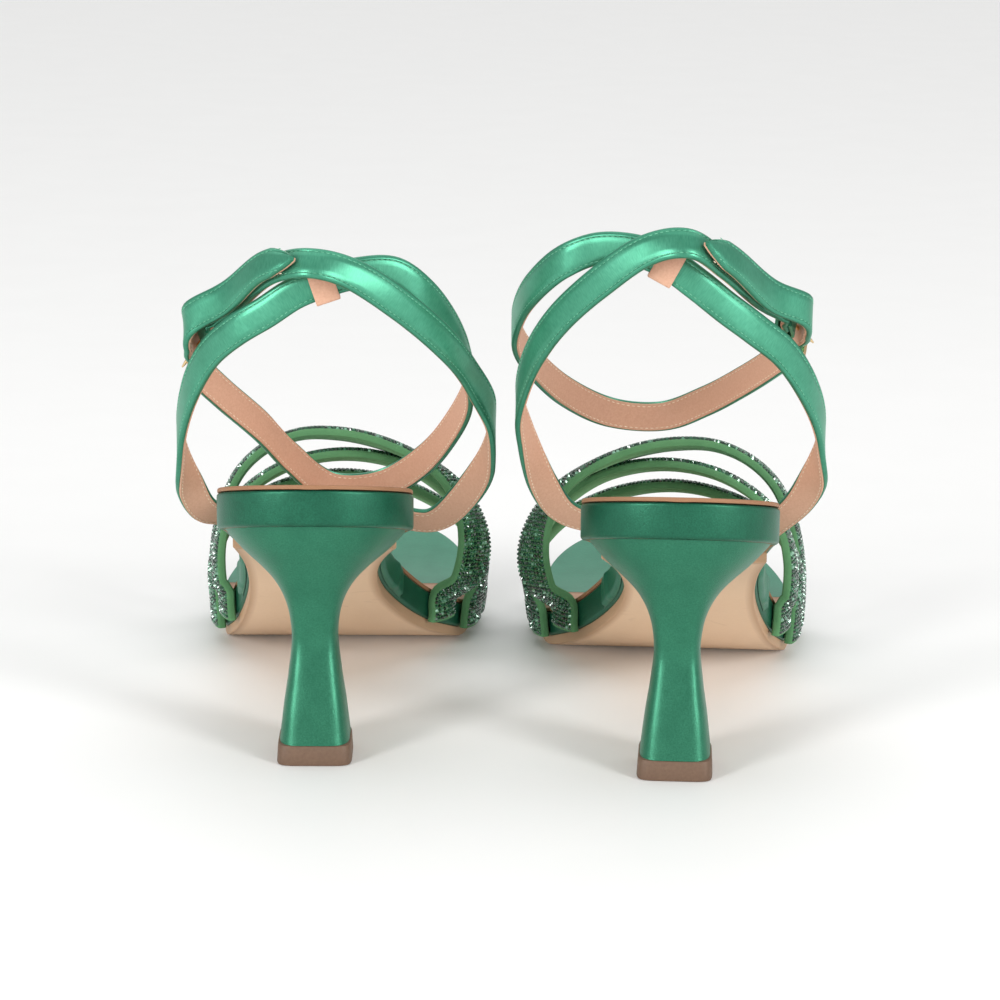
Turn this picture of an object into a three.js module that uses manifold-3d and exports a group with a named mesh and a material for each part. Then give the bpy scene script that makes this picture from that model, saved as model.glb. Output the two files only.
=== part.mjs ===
// A pair of evening sandals: satin platform and flared heel, three crystal straps
// over the toes and a long strap that wraps the ankle and closes in a small buckle.
// Millimetres, +Z up, toes towards +Y. The origin is on the floor, under the middle
// of the pair. Each shoe is built in its own frame: x = 0 on the heel's centre line
// and positive to the outside of the foot, y = 0 at the back of the heel seat.
import * as THREE from 'three';
import { mergeVertices } from 'three/addons/utils/BufferGeometryUtils.js';
import Module from 'manifold-3d';

const wasm = await Module();
wasm.setup();

// ---- driving dimensions -------------------------------------------------------
const SOLE_LENGTH = 228; // back of the heel to the tip of the toe, along the floor
const SEAT_WIDTH = 57; // widest part of the heel seat
const WAIST_WIDTH = 41.5; // narrowest part of the sole, under the arch
const BALL_WIDTH = 83; // widest part of the sole
const HEEL_LIFT = 70.7; // how far the heel seat is raised above the ball
const TOE_SPRING = 8.5; // how far the toe tip curls up
const SEAT_THICK = 11.6; // footbed with its padding, at the heel
const FORE_THICK = 9; // the same, at the ball and toes
const OUTSOLE = 2.7; // leather outsole
const BOARD = 2; // stiff insole board
const SOCK = 1.2; // tan leather sock under the foot
const TOE_SOCK = 0.9; // satin under the toes
const RAND = 1; // satin wrapped round the footbed's edge
const SHANK_START = 33;
const SHANK_LENGTH = 86;
const SHANK_WIDTH = 12;
const SHANK_THICK = 1.5; // steel spring under the arch
const HEEL_SKIN = 0.9; // satin glued over the heel block
const TOP_PIECE_WIDTH = 21.8; // the brown walking piece under the heel
const TOP_PIECE_DEPTH = 22.5;
const TOP_PIECE_HEIGHT = 6;
const NECK_WIDTH = 13.4; // thinnest part of the heel
const DOWEL_RADIUS = 1.5; // steel dowel that holds the top piece
const DOWEL_LENGTH = 42;
const SCREW_RADIUS = 2; // screw and nails from the seat into the heel block
const NAIL_RADIUS = 1;
const SCREW_LENGTH = 19;
const NAIL_LENGTH = 15;
const STRAP_WIDTH = 9; // ankle straps
const STRAP_SATIN = 1.1;
const STRAP_LINING = 0.8;
const VAMP_WIDTH = 14.5; // crystal straps
const VAMP_CRYSTAL = 1.9;
const VAMP_LINING = 1.4;
const WIRE_RADIUS = 0.75; // buckle frame
const BUCKLE_LENGTH = 12; // centre to centre of its two bars
const PRONG_RADIUS = 0.55;
const FOLD = 0.9; // satin tab folded round the buckle's bar
const KEEPER = 0.8; // leather loop at the back of the ankle
const KEEPER_WIDTH = 7;
const GAP = 0.3; // left between pieces that touch
const RIGHT_TOE_OUT = 0.062; // radians that the right shoe is turned outwards
const LEFT_TOE_OUT = 0.016;
const HALF_SPACING = 51.5; // heel centre to the middle of the pair
const STAGGER = 11.4; // how far the right shoe stands behind the left one

// ---- where the sole turns -----------------------------------------------------
const SEAT_Y = 29; // widest part of the seat
const WAIST_Y = 80;
const BALL_Y = 162;
const TREAD_START = 150; // the tread is flat from here
const TREAD_END = 166; // to here
const SOCK_END = 170; // front edge of the leather sock
const SEAT_ROUND = 2.15; // how square the heel end is, 2 being an ellipse
const TOE_ROUND = 2.6;
const WAIST_SHIFT = 3; // the arch is cut in from the inside of the foot
const BALL_SHIFT = -5; // and the forefoot leans towards it
const TOE_SHIFT = -8;
const FLOOR_PLANE = OUTSOLE + GAP; // underside of the footbed at the ball

// Share of the heel lift that is left at each distance from the heel.
const ARCH = [[0, 1], [25, 0.9], [45, 0.81], [70, 0.63], [95, 0.38], [120, 0.155],
  [140, 0.035], [TREAD_START, 0], [TREAD_END, 0], [SOLE_LENGTH, 0]];

// ---- small helpers ------------------------------------------------------------
const clamp01 = (t) => Math.min(Math.max(t, 0), 1);
const mix = (a, b, t) => a + (b - a) * t;
const vec = (x, y, z) => new THREE.Vector3(x, y, z);

function ease(from, to, value) {
  const t = clamp01((value - from) / (to - from));
  return t * t * (3 - 2 * t);
}

// Smooth curve through hand-set [x, value] points.
function through(points, x) {
  const last = points.length - 1;
  const slopeAt = (k) => {
    const a = points[Math.max(k - 1, 0)];
    const b = points[Math.min(k + 1, last)];
    return (b[1] - a[1]) / (b[0] - a[0]);
  };
  let i = 0;
  while (i < last - 1 && points[i + 1][0] <= x) i += 1;
  const span = points[i + 1][0] - points[i][0];
  const t = clamp01((x - points[i][0]) / span);
  const rise = points[i + 1][1] - points[i][1];
  const m0 = slopeAt(i) * span;
  const m1 = slopeAt(i + 1) * span;
  return points[i][1] + t * (m0 + t * (3 * rise - 2 * m0 - m1 + t * (m0 + m1 - 2 * rise)));
}

// ---- the sole's outline and side profile --------------------------------------
const footCentre = (y) => WAIST_SHIFT * ease(SEAT_Y, WAIST_Y, y)
  + (BALL_SHIFT - WAIST_SHIFT) * ease(WAIST_Y, BALL_Y, y)
  + (TOE_SHIFT - BALL_SHIFT) * ease(BALL_Y, SOLE_LENGTH, y);

const roundEnd = (t, power) => (1 - clamp01(t) ** power) ** (1 / power);

function halfWidth(y, inset = 0) {
  const seat = SEAT_WIDTH / 2 - inset;
  const waist = WAIST_WIDTH / 2 - inset;
  const ball = BALL_WIDTH / 2 - inset;
  if (y < SEAT_Y) return seat * roundEnd((SEAT_Y - y) / (SEAT_Y - inset), SEAT_ROUND);
  if (y > BALL_Y) return ball * roundEnd((y - BALL_Y) / (SOLE_LENGTH - BALL_Y - inset), TOE_ROUND);
  if (y < WAIST_Y) return mix(seat, waist, ease(SEAT_Y, WAIST_Y, y));
  return mix(waist, ball, ease(WAIST_Y, BALL_Y, y));
}

const edgeX = (side, y, inset = 0) => footCentre(y) + side * halfWidth(y, inset);

// Underside of the footbed, along the middle of the sole.
function underside(y) {
  const curl = clamp01((y - TREAD_END) / (SOLE_LENGTH - TREAD_END));
  return FLOOR_PLANE + HEEL_LIFT * through(ARCH, y) + TOE_SPRING * curl ** 2;
}

const thickness = (y) => mix(SEAT_THICK, FORE_THICK, ease(60, 140, y));

// A height `up` mm above the underside, measured square to it.
const raised = (y, up) => underside(y) + up * Math.hypot(1, underside(y + 0.5) - underside(y - 0.5));
const footbedTop = (y) => raised(y, thickness(y));

// Stations along the sole crowd together at both ends, where the outline is round.
const SOLE_STEPS = 24;
const station = (i) => (SOLE_LENGTH * (1 - Math.cos((Math.PI * i) / SOLE_STEPS))) / 2;
const STATIONS = Array.from({ length: SOLE_STEPS + 1 }, (_, i) => station(i));

// Every layer is straight between the same stations, so the layers never cross. `up` is
// a thickness, or a function of y that gives one.
function layer(y, up) {
  const after = STATIONS.findIndex((s) => s > y);
  const k = after < 0 ? SOLE_STEPS : Math.max(after, 1);
  const at = (s) => raised(s, typeof up === 'function' ? up(s) : up);
  return mix(at(STATIONS[k - 1]), at(STATIONS[k]), (y - STATIONS[k - 1]) / (STATIONS[k] - STATIONS[k - 1]));
}

// The rand's outer wall, straight between stations.
function wallX(side, y) {
  const after = STATIONS.findIndex((s) => s > y);
  const k = after < 0 ? SOLE_STEPS : Math.max(after, 1);
  const t = (y - STATIONS[k - 1]) / (STATIONS[k] - STATIONS[k - 1]);
  return mix(edgeX(side, STATIONS[k - 1]), edgeX(side, STATIONS[k]), t);
}

const base = (y) => layer(y, 0);
const padTop = (y) => thickness(y) - SOCK - GAP; // top of the padding and of the rand

// ---- mesh builders ------------------------------------------------------------
// Closed skin over a row of rings. Each ring is a list of points in the same order.
function loft(rings, closedLoop = false) {
  const count = rings[0].length;
  const position = [];
  const index = [];
  rings.forEach((ring) => ring.forEach((p) => position.push(p.x, p.y, p.z)));
  const rows = closedLoop ? rings.length : rings.length - 1;
  for (let i = 0; i < rows; i += 1) {
    const next = (i + 1) % rings.length;
    for (let j = 0; j < count; j += 1) {
      const k = (j + 1) % count;
      const [a, b, c, d] = [i * count + j, i * count + k, next * count + k, next * count + j];
      index.push(a, b, c, a, c, d);
    }
  }
  if (!closedLoop) {
    const end = (rings.length - 1) * count;
    for (let j = 1; j < count - 1; j += 1) {
      index.push(0, j + 1, j);
      index.push(end, end + j, end + j + 1);
    }
  }
  return outward(position, index);
}

// Turns every face over if the body is inside out.
function outward(position, index) {
  let volume = 0;
  const at = (i) => vec(position[3 * i], position[3 * i + 1], position[3 * i + 2]);
  for (let i = 0; i < index.length; i += 3) {
    volume += at(index[i]).dot(at(index[i + 1]).cross(at(index[i + 2])));
  }
  if (volume < 0) {
    for (let i = 0; i < index.length; i += 3) {
      [index[i + 1], index[i + 2]] = [index[i + 2], index[i + 1]];
    }
  }
  const geometry = new THREE.BufferGeometry();
  geometry.setAttribute('position', new THREE.Float32BufferAttribute(position, 3));
  geometry.setIndex(index);
  return geometry;
}

function toSolid(geometry) {
  const bare = geometry.index ? geometry.clone() : geometry;
  bare.deleteAttribute('normal');
  bare.deleteAttribute('uv');
  const merged = mergeVertices(bare, 1e-4);
  return new wasm.Manifold(new wasm.Mesh({
    numProp: 3,
    vertProperties: new Float32Array(merged.attributes.position.array),
    triVerts: new Uint32Array(merged.index.array),
  }));
}

function cutAway(geometry, cutters) {
  const solid = cutters.reduce((rest, cutter) => rest.subtract(toSolid(cutter)), toSolid(geometry));
  const mesh = solid.getMesh();
  const result = new THREE.BufferGeometry();
  result.setAttribute('position', new THREE.Float32BufferAttribute(Array.from(mesh.vertProperties), 3));
  result.setIndex(Array.from(mesh.triVerts));
  return result;
}

// Rod between two points. `sides` faces round it.
function rod(from, to, radius, sides = 10) {
  const along = to.clone().sub(from);
  const geometry = new THREE.CylinderGeometry(radius, radius, along.length(), sides);
  geometry.translate(0, along.length() / 2, 0);
  const turn = new THREE.Quaternion().setFromUnitVectors(vec(0, 1, 0), along.normalize());
  geometry.applyQuaternion(turn).translate(from.x, from.y, from.z);
  return geometry;
}

// ---- sole layers --------------------------------------------------------------
// A curved slab between two heights above the footbed's underside.
function slab(inset, low, high, from = inset, to = SOLE_LENGTH - inset) {
  const heelTip = 0.3;
  const toeTip = 1;
  const apart = 1;
  const start = Math.max(from, inset + heelTip);
  const end = Math.min(to, SOLE_LENGTH - inset - toeTip);
  const between = STATIONS.filter((s) => s > start + apart && s < end - apart);
  return loft([start, ...between, end].map((y) => {
    const left = edgeX(-1, y, inset);
    const right = edgeX(1, y, inset);
    const bottom = Math.max(layer(y, low), 0);
    const top = layer(y, high);
    return [vec(left, y, bottom), vec(right, y, bottom), vec(right, y, top), vec(left, y, top)];
  }));
}

const OUTSOLE_START = 50; // the outsole runs back to the heel's breast

function outsole() {
  return slab(1.2, -OUTSOLE - GAP, -GAP, OUTSOLE_START + GAP);
}

// The satin rand: a wall round the whole footbed.
function randCover() {
  const rings = [];
  const side = (sign, i) => {
    const yOut = STATIONS[i];
    const yIn = mix(RAND, SOLE_LENGTH - RAND, yOut / SOLE_LENGTH);
    const out = [edgeX(sign, yOut, 0), yOut];
    const inner = [edgeX(sign, yIn, RAND), yIn];
    rings.push([vec(...out, base(yOut)), vec(...out, layer(yOut, padTop)),
      vec(...inner, layer(yIn, padTop)), vec(...inner, base(yIn))]);
  };
  for (let i = 0; i <= SOLE_STEPS; i += 1) side(1, i);
  for (let i = SOLE_STEPS - 1; i > 0; i -= 1) side(-1, i);
  return loft(rings, true);
}

// Seat fasteners stand upright in the seat: [x, y, radius, head radius, length].
const SEAT_FASTENERS = {
  heel_screw: [0, 24, SCREW_RADIUS, 3.6, SCREW_LENGTH],
  heel_nail_inner: [-9, 30, NAIL_RADIUS, 2, NAIL_LENGTH],
  heel_nail_outer: [9, 30, NAIL_RADIUS, 2, NAIL_LENGTH],
};
const HEAD = 1; // thickness of a screw or nail head

function fastener([x, y, radius, headRadius, length], grow = 0) {
  const seat = layer(y, BOARD) + GAP;
  const tilt = headRadius * 0.3; // the seat slopes under the head
  const low = seat + tilt - grow;
  const profile = [[0, seat - length - grow], [radius + grow, seat - length - grow],
    [radius + grow, low], [headRadius + grow, low], [headRadius + grow, low + HEAD + 2 * grow],
    [0, low + HEAD + 2 * grow]];
  const turned = new THREE.LatheGeometry(profile.map((p) => new THREE.Vector2(...p)), 10);
  return turned.rotateX(Math.PI / 2).translate(x, y, 0);
}

const fastenerCuts = () => Object.values(SEAT_FASTENERS).map((spec) => fastener(spec, GAP));

function shank(grow = 0) {
  const rings = [];
  for (let i = 0; i <= 9; i += 1) {
    const y = mix(SHANK_START - grow, SHANK_START + SHANK_LENGTH + grow, i / 9);
    const low = layer(y, BOARD + GAP - grow);
    const high = layer(y, BOARD + GAP + SHANK_THICK + grow);
    const half = SHANK_WIDTH / 2 + grow;
    const x = footCentre(y);
    rings.push([vec(x - half, y, low), vec(x + half, y, low), vec(x + half, y, high), vec(x - half, y, high)]);
  }
  return loft(rings);
}

const INNER = RAND + GAP;
const insoleBoard = () => cutAway(slab(INNER, 0, BOARD), fastenerCuts());

function footbedPadding() {
  return cutAway(slab(INNER, BOARD + GAP, padTop), [...fastenerCuts(), shank(GAP)]);
}

const sockUnder = (y) => thickness(y) - SOCK;
const sockLining = () => slab(GAP, sockUnder, thickness, 0, SOCK_END);
const toeSock = () => slab(GAP, sockUnder, (y) => sockUnder(y) + TOE_SOCK, SOCK_END + GAP);

// ---- heel ---------------------------------------------------------------------
// [share of the heel's height, back y, front y, width, back squareness]
const HEEL_TOP_WIDTH = SEAT_WIDTH - 5;
const HEEL_FOOT_WIDTH = TOP_PIECE_WIDTH - 1.4;
const HEEL_RINGS = [
  [0, 8.8, 31, HEEL_FOOT_WIDTH, 5],
  [0.16, 10.6, 29.6, 18, 5],
  [0.3, 12.6, 29, 15.4, 5],
  [0.46, 14.6, 29.4, NECK_WIDTH, 5],
  [0.58, 13.6, 31, 14.6, 4.5],
  [0.67, 12, 34, 17.8, 4],
  [0.75, 9.9, 37.6, 23.4, 3.2],
  [0.82, 7.8, 41.4, 31, 2.7],
  [0.9, 5, 45.6, 41, 2.4],
  [1, 2.4, OUTSOLE_START, HEEL_TOP_WIDTH, SEAT_ROUND],
];
const HEEL_SIDES = 20;
const FRONT_SQUARE = 6; // squareness of the heel's front edge

function heelRing([share, back, front, width, square], inset) {
  const low = TOP_PIECE_HEIGHT + GAP;
  const seatBack = base(back) - GAP;
  const height = mix(low, seatBack, share);
  const lean = ease(0.35, 1, share);
  const middle = mix((back + front) / 2, SEAT_Y - 1, ease(0.6, 1, share));
  const ring = [];
  for (let j = 0; j < HEEL_SIDES; j += 1) {
    const angle = (2 * Math.PI * (j + 0.5)) / HEEL_SIDES;
    const [c, s] = [Math.cos(angle), Math.sin(angle)];
    const power = 2 / (s < 0 ? square : FRONT_SQUARE);
    const reach = (s < 0 ? middle - back : front - middle) - inset;
    const x = Math.sign(c) * Math.abs(c) ** power * (width / 2 - inset);
    const y = middle + Math.sign(s) * Math.abs(s) ** power * reach;
    const taper = s < 0 ? 1 - 0.1 * (1 - lean) * Math.abs(s) : 1; // back face a little narrower
    ring.push(vec(x * taper, y, mix(height, base(y) - GAP - (seatBack - height), lean)));
  }
  return ring;
}

const DOWEL_Y = 20.5;
const DOWEL_START = 2.5; // depth of rubber left under the dowel

const dowel = (grow = 0) => rod(vec(0, DOWEL_Y, DOWEL_START - grow),
  vec(0, DOWEL_Y, DOWEL_START + DOWEL_LENGTH + grow), DOWEL_RADIUS + grow);

function heelCore() {
  const rings = HEEL_RINGS.map((spec) => heelRing(spec, HEEL_SKIN + GAP + 0.1));
  return cutAway(loft(rings), [...fastenerCuts(), dowel(GAP)]);
}

// The skin is a sleeve: outside going up, inside coming back down.
function heelCover() {
  const outside = HEEL_RINGS.map((spec) => heelRing(spec, 0));
  const inside = HEEL_RINGS.map((spec) => heelRing(spec, HEEL_SKIN)).reverse();
  return loft([...outside, ...inside], true);
}

function topPiece() {
  const ring = (z, grow) => {
    const points = [];
    for (let j = 0; j < HEEL_SIDES; j += 1) {
      const angle = (2 * Math.PI * (j + 0.5)) / HEEL_SIDES;
      const [c, s] = [Math.cos(angle), Math.sin(angle)];
      const x = Math.sign(c) * Math.abs(c) ** 0.33 * (TOP_PIECE_WIDTH / 2 + grow);
      const y = 19.8 + Math.sign(s) * Math.abs(s) ** 0.33 * (TOP_PIECE_DEPTH / 2 + grow);
      points.push(vec(x, y, z));
    }
    return points;
  };
  const bevel = 0.5;
  const body = loft([ring(0, -bevel), ring(bevel, 0), ring(TOP_PIECE_HEIGHT, -bevel)]);
  return cutAway(body, [dowel(GAP)]);
}

// ---- straps -------------------------------------------------------------------
// A strap route is a list of [x, y, height above the footbed]. The curve is a uniform
// Catmull-Rom curve, and a ribbon's width lies along `acrossHint` as nearly as it can.
const onFoot = ([x, y, up]) => vec(x, y, footbedTop(Math.max(y, 0)) + up);

function frames(points, perSpan, acrossHint) {
  const curve = new THREE.CatmullRomCurve3(points, false, 'catmullrom', 0.5);
  const count = (points.length - 1) * perSpan;
  const list = [];
  for (let i = 0; i <= count; i += 1) {
    const t = i / count;
    const along = curve.getTangent(t);
    const hint = acrossHint(t);
    const across = hint.clone().addScaledVector(along, -hint.dot(along)).normalize();
    const face = along.clone().cross(across).normalize();
    list.push({ at: curve.getPoint(t), along, across, face });
  }
  return list;
}

// Sweeps a section of [across, face] points along the frames. `outside` is 1 or -1,
// whichever turns the face direction away from the foot.
function ribbon(list, section, outside) {
  return loft(list.map(({ at, across, face }) => section.map(([a, n]) => (
    at.clone().addScaledVector(across, a).addScaledVector(face, n * outside)))));
}

// Sections start on the face that meets the other layer, so that both layers' facets match.
const flatSection = (width, near, far) => {
  const half = width / 2;
  return [[-half, near], [half, near], [half, far], [-half, far]];
};

// Crystal straps are padded, so their outer face is crowned.
const crownSection = (width, near, far) => {
  const half = width / 2;
  return [[-half, near], [half, near], [half, mix(near, far, 0.45)], [half * 0.45, far],
    [-half * 0.45, far], [-half, mix(near, far, 0.45)]];
};

const STRAP_STACK = STRAP_SATIN + STRAP_LINING + GAP; // satin, gap and lining
const upright = () => vec(0, 0, 1);

// The two lower ends stand just outside the satin leaves on the sole's edge.
const legX = (side, y) => wallX(side, y) + side * (2 * GAP + RAND + STRAP_LINING / 2);

// Where each strap goes from the sole to the back of the ankle and on to the buckle.
const ROUTES = {
  right: {
    rise: [[34.8, 65.1, 5.5], [39.5, 56, 13.5], [39.8, 45.9, 23.6], [36, 36, 33.2], [28.8, 27.7, 43.3],
      [19.6, 21, 49.9], [11.5, 17.2, 55.4], [3.4, 14.5, 61.5], [-4.6, 13.9, 67]],
    loop: [[-13.6, 14.7, 70.6], [-24.5, 17.2, 71.2], [-34.5, 19.9, 67.3], [-43.2, 30.2, 60.8],
      [-47.8, 43.3, 54.9], [-48.6, 54.3, 50.6], [-44.7, 68.2, 47.7], [-35.7, 84, 46.3],
      [-22.4, 95.6, 47], [-6.4, 95.7, 46.2], [6.4, 87.9, 46.4], [17, 75.6, 45.7]],
    inner: [[-34.1, 70.9, 2.5], [-40.8, 63.1, 8.6], [-45.6, 51.3, 20.5], [-46.9, 42.3, 29.4],
      [-43.1, 32.2, 40.8], [-35.4, 22.5, 51.3], [-23.7, 12.8, 61.2], [-10.8, 6.9, 69.6],
      [1.1, 5, 71.5]],
    toBuckle: [[10.4, 13.7, 66.9], [20.2, 27.5, 60.8]],
    buckle: [29.6, 41.2, 54.3],
    front: [25.7, 63.3, 47.2],
  },
  left: {
    rise: [[34.8, 64.6, -1.3], [39.2, 55.8, 6.7], [39.9, 45.7, 16.9], [36.7, 35.4, 28.3],
      [30.5, 26.8, 38.9], [22, 19.2, 45.6], [13.2, 16.3, 50.7], [5.1, 14.9, 55.9], [-2.9, 14.6, 59.1]],
    loop: [[-11.9, 15.7, 61.8], [-22.7, 18.7, 62.5], [-31.4, 22.7, 56.7], [-37.9, 30.8, 49.5],
      [-42.8, 41.2, 40], [-44.3, 52.4, 32.4], [-39.9, 64.1, 25.1], [-31, 76.5, 18.6],
      [-17.9, 84, 14.7], [-2, 82.4, 13.3], [9.3, 72, 17.7], [17.5, 60.4, 23.5]],
    inner: [[-33.7, 73.7, -1.5], [-42.7, 67.3, 3.3], [-49.9, 57.8, 12.7], [-50.7, 46.8, 23.4],
      [-45.4, 37.4, 33.4], [-37.8, 25.1, 42.3], [-25, 14.3, 52.5], [-11.4, 8.3, 60.7],
      [0.5, 6.2, 63.5]],
    toBuckle: [[11, 14.8, 62.5], [20.9, 26.3, 56.6]],
    buckle: [31.2, 36.1, 45.9],
    front: [27.8, 50.6, 30.7],
  },
};

const LEG_TOP_Y = 74.5; // where the ankle straps leave the leaves
const LEG_UP = 0.4;

// Everything about one shoe's buckle: its bar, and the directions along the strap
// towards the front, across the strap, and out of the foot.
function buckleFrame(route) {
  const at = onFoot(route.buckle);
  const before = onFoot(route.toBuckle[1]);
  const front = onFoot(route.front);
  const forward = front.clone().sub(at).normalize().add(at.clone().sub(before).normalize()).normalize();
  const out = forward.clone().cross(upright()).normalize();
  const across = out.clone().cross(forward).normalize();
  const place = (u, n, b = 0) => at.clone().addScaledVector(forward, u)
    .addScaledVector(out, n).addScaledVector(across, b);
  return { at, forward, out, across, place };
}

const BAR_CLEAR = STRAP_SATIN + 1.5 * GAP; // inside radius of the folded tab
const TAB_OUT = BAR_CLEAR + FOLD; // its outer face, measured from the bar
const OVER_BAR = TAB_OUT + GAP + STRAP_LINING + GAP / 2; // wrap strap's middle over the bar
const TIP_STACK = STRAP_STACK + 2 * GAP + FOLD; // wrap strap's tip outside the buckle strap
const TIP_LEANS = [0.17, 0.64, 0.9]; // the tip leans over with the strap under it
const TIP_LIFTS = [1.2, 0.7, 1.6];
const TIP_RAISE = -0.5; // the tip hangs a little lower than the strap it covers
const FAR_BAR_OUT = 3.3; // how far the frame's front bar stands outside its strap bar

function wrapStrapPoints(route) {
  const { place } = buckleFrame(route);
  const start = vec(legX(1, LEG_TOP_Y), LEG_TOP_Y, footbedTop(LEG_TOP_Y) + LEG_UP);
  const rise = [start, ...[...route.rise, ...route.loop, route.front].map(onFoot)];
  const under = [place(BUCKLE_LENGTH + 3, 0), place(BUCKLE_LENGTH - 4, 1.3)];
  const over = [place(2.2, OVER_BAR + 1), place(-8, OVER_BAR + 2.2)];
  const chain = [place(-8, 0), ...[...route.toBuckle].reverse().map(onFoot),
    ...route.inner.slice(-2).reverse().map(onFoot)];
  const tip = TIP_LEANS.map((leaning, i) => {
    const away = chain[i].clone().sub(chain[i + 2]).cross(vec(0, leaning, 1)).normalize();
    return chain[i + 1].clone().addScaledVector(away, TIP_STACK + TIP_LIFTS[i]).add(vec(0, 0, TIP_RAISE));
  });
  tip[2].lerp(tip[1], 0.25);
  return [...rise, ...under, ...over, ...tip];
}

function buckleStrapPoints(route) {
  const { place } = buckleFrame(route);
  const start = vec(legX(-1, LEG_TOP_Y), LEG_TOP_Y, footbedTop(LEG_TOP_Y) + LEG_UP);
  return [start, ...[...route.inner, ...route.toBuckle].map(onFoot), place(-10, 0), place(-6, 0),
    place(-(BAR_CLEAR + GAP), 0)];
}

const STRAP_STEPS = 2;
const satinSection = flatSection(STRAP_WIDTH, GAP / 2, GAP / 2 + STRAP_SATIN);
const liningSection = flatSection(STRAP_WIDTH, -GAP / 2, -GAP / 2 - STRAP_LINING);
// The wrap strap runs from the outside of the foot to the back, so its face direction
// already points away from the ankle; the buckle strap runs the other way round.
const WRAP_OUTSIDE = -1;
const BUCKLE_OUTSIDE = 1;

// Holes for the prong: a slot where it is fastened and round spare holes beside it.
const SLOT_LENGTH = 10;
const SLOT_WIDTH = 2.2;

function strapHoles(route) {
  const { place, forward, out, across } = buckleFrame(route);
  const slot = new THREE.BoxGeometry(SLOT_LENGTH, SLOT_WIDTH, 9);
  const turn = new THREE.Matrix4().makeBasis(forward, across, out);
  const centre = place(5.2, 2.2);
  slot.applyMatrix4(turn).translate(centre.x, centre.y, centre.z);
  return [slot];
}

// The straps leave the sole with their satin turned to the back, and stand upright higher
// up. Then only the wrap strap's tip leans in.
const footLean = (side, share) => vec(-0.5 * side, -0.45, -0.25).multiplyScalar(1 - share);
const tipLean = (t) => vec(0, 0.9 * ease(0.905, 1, t), 1).add(footLean(1, ease(0.02, 0.1, t)));

function wrapStrap(route, section) {
  const list = frames(wrapStrapPoints(route), STRAP_STEPS, tipLean);
  return cutAway(ribbon(list, section, WRAP_OUTSIDE), strapHoles(route));
}

// Past the crossing the buckle strap leans in over the top of the ankle.
const lean = (t) => vec(0, 0.9 * ease(0.5, 0.68, t) * (1 - ease(0.72, 0.9, t)), 1)
  .add(footLean(-1, ease(0.05, 0.25, t)));

function buckleStrap(route, section) {
  return ribbon(frames(buckleStrapPoints(route), STRAP_STEPS, lean), section, BUCKLE_OUTSIDE);
}

// The satin tab: a U round the bar, its legs on both faces of the strap's end, with a
// notch in the middle for the prong.
function buckleTab(route) {
  const { place, across, forward, out } = buckleFrame(route);
  const leg = 6;
  const arc = 6;
  const half = STRAP_WIDTH / 2;
  const rings = [];
  const ring = (inner, outer) => rings.push([
    place(...inner, -half), place(...inner, half), place(...outer, half), place(...outer, -half)]);
  ring([-leg, -BAR_CLEAR], [-leg, -TAB_OUT]);
  for (let i = 0; i <= arc; i += 1) {
    const angle = -Math.PI / 2 + (Math.PI * i) / arc;
    const [c, s] = [Math.cos(angle), Math.sin(angle)];
    ring([BAR_CLEAR * c, BAR_CLEAR * s], [TAB_OUT * c, TAB_OUT * s]);
  }
  ring([-leg, BAR_CLEAR], [-leg, TAB_OUT]);
  const notch = new THREE.BoxGeometry(5.2, 2 * PRONG_RADIUS + 1.4, 6);
  notch.applyMatrix4(new THREE.Matrix4().makeBasis(forward, across, out));
  const centre = place(0.7, 0);
  notch.translate(centre.x, centre.y, centre.z);
  return cutAway(loft(rings), [notch]);
}

// A rounded rectangle of wire in the plane through both bars.
function buckleRing(route) {
  const { place } = buckleFrame(route);
  const halfB = STRAP_WIDTH / 2 + 0.8 + WIRE_RADIUS;
  const corner = 2;
  const path = [];
  const corners = [[1, 1], [0, 1], [0, -1], [1, -1]];
  corners.forEach(([end, sideB], i) => {
    const u = end ? BUCKLE_LENGTH - corner : corner;
    const b = sideB * (halfB - corner);
    for (let k = 0; k <= 3; k += 1) {
      const angle = ((i + k / 3) * Math.PI) / 2;
      const along = u + corner * Math.cos(angle);
      path.push(place(along, (FAR_BAR_OUT * along) / BUCKLE_LENGTH, b + corner * Math.sin(angle)));
    }
  });
  return wireLoop(path, WIRE_RADIUS, 8);
}

function wireLoop(path, radius, sides) {
  const centre = path.reduce((sum, p) => sum.add(p), vec(0, 0, 0)).divideScalar(path.length);
  const plane = path[0].clone().sub(centre).cross(path[3].clone().sub(centre)).normalize();
  const rings = path.map((p, i) => {
    const before = path[(i + path.length - 1) % path.length];
    const after = path[(i + 1) % path.length];
    const along = after.clone().sub(before).normalize();
    const side = along.clone().cross(plane);
    const ring = [];
    for (let j = 0; j < sides; j += 1) {
      const angle = (2 * Math.PI * j) / sides;
      ring.push(p.clone().addScaledVector(side, radius * Math.cos(angle))
        .addScaledVector(plane, radius * Math.sin(angle)));
    }
    return ring;
  });
  return loft(rings, true);
}

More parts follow.
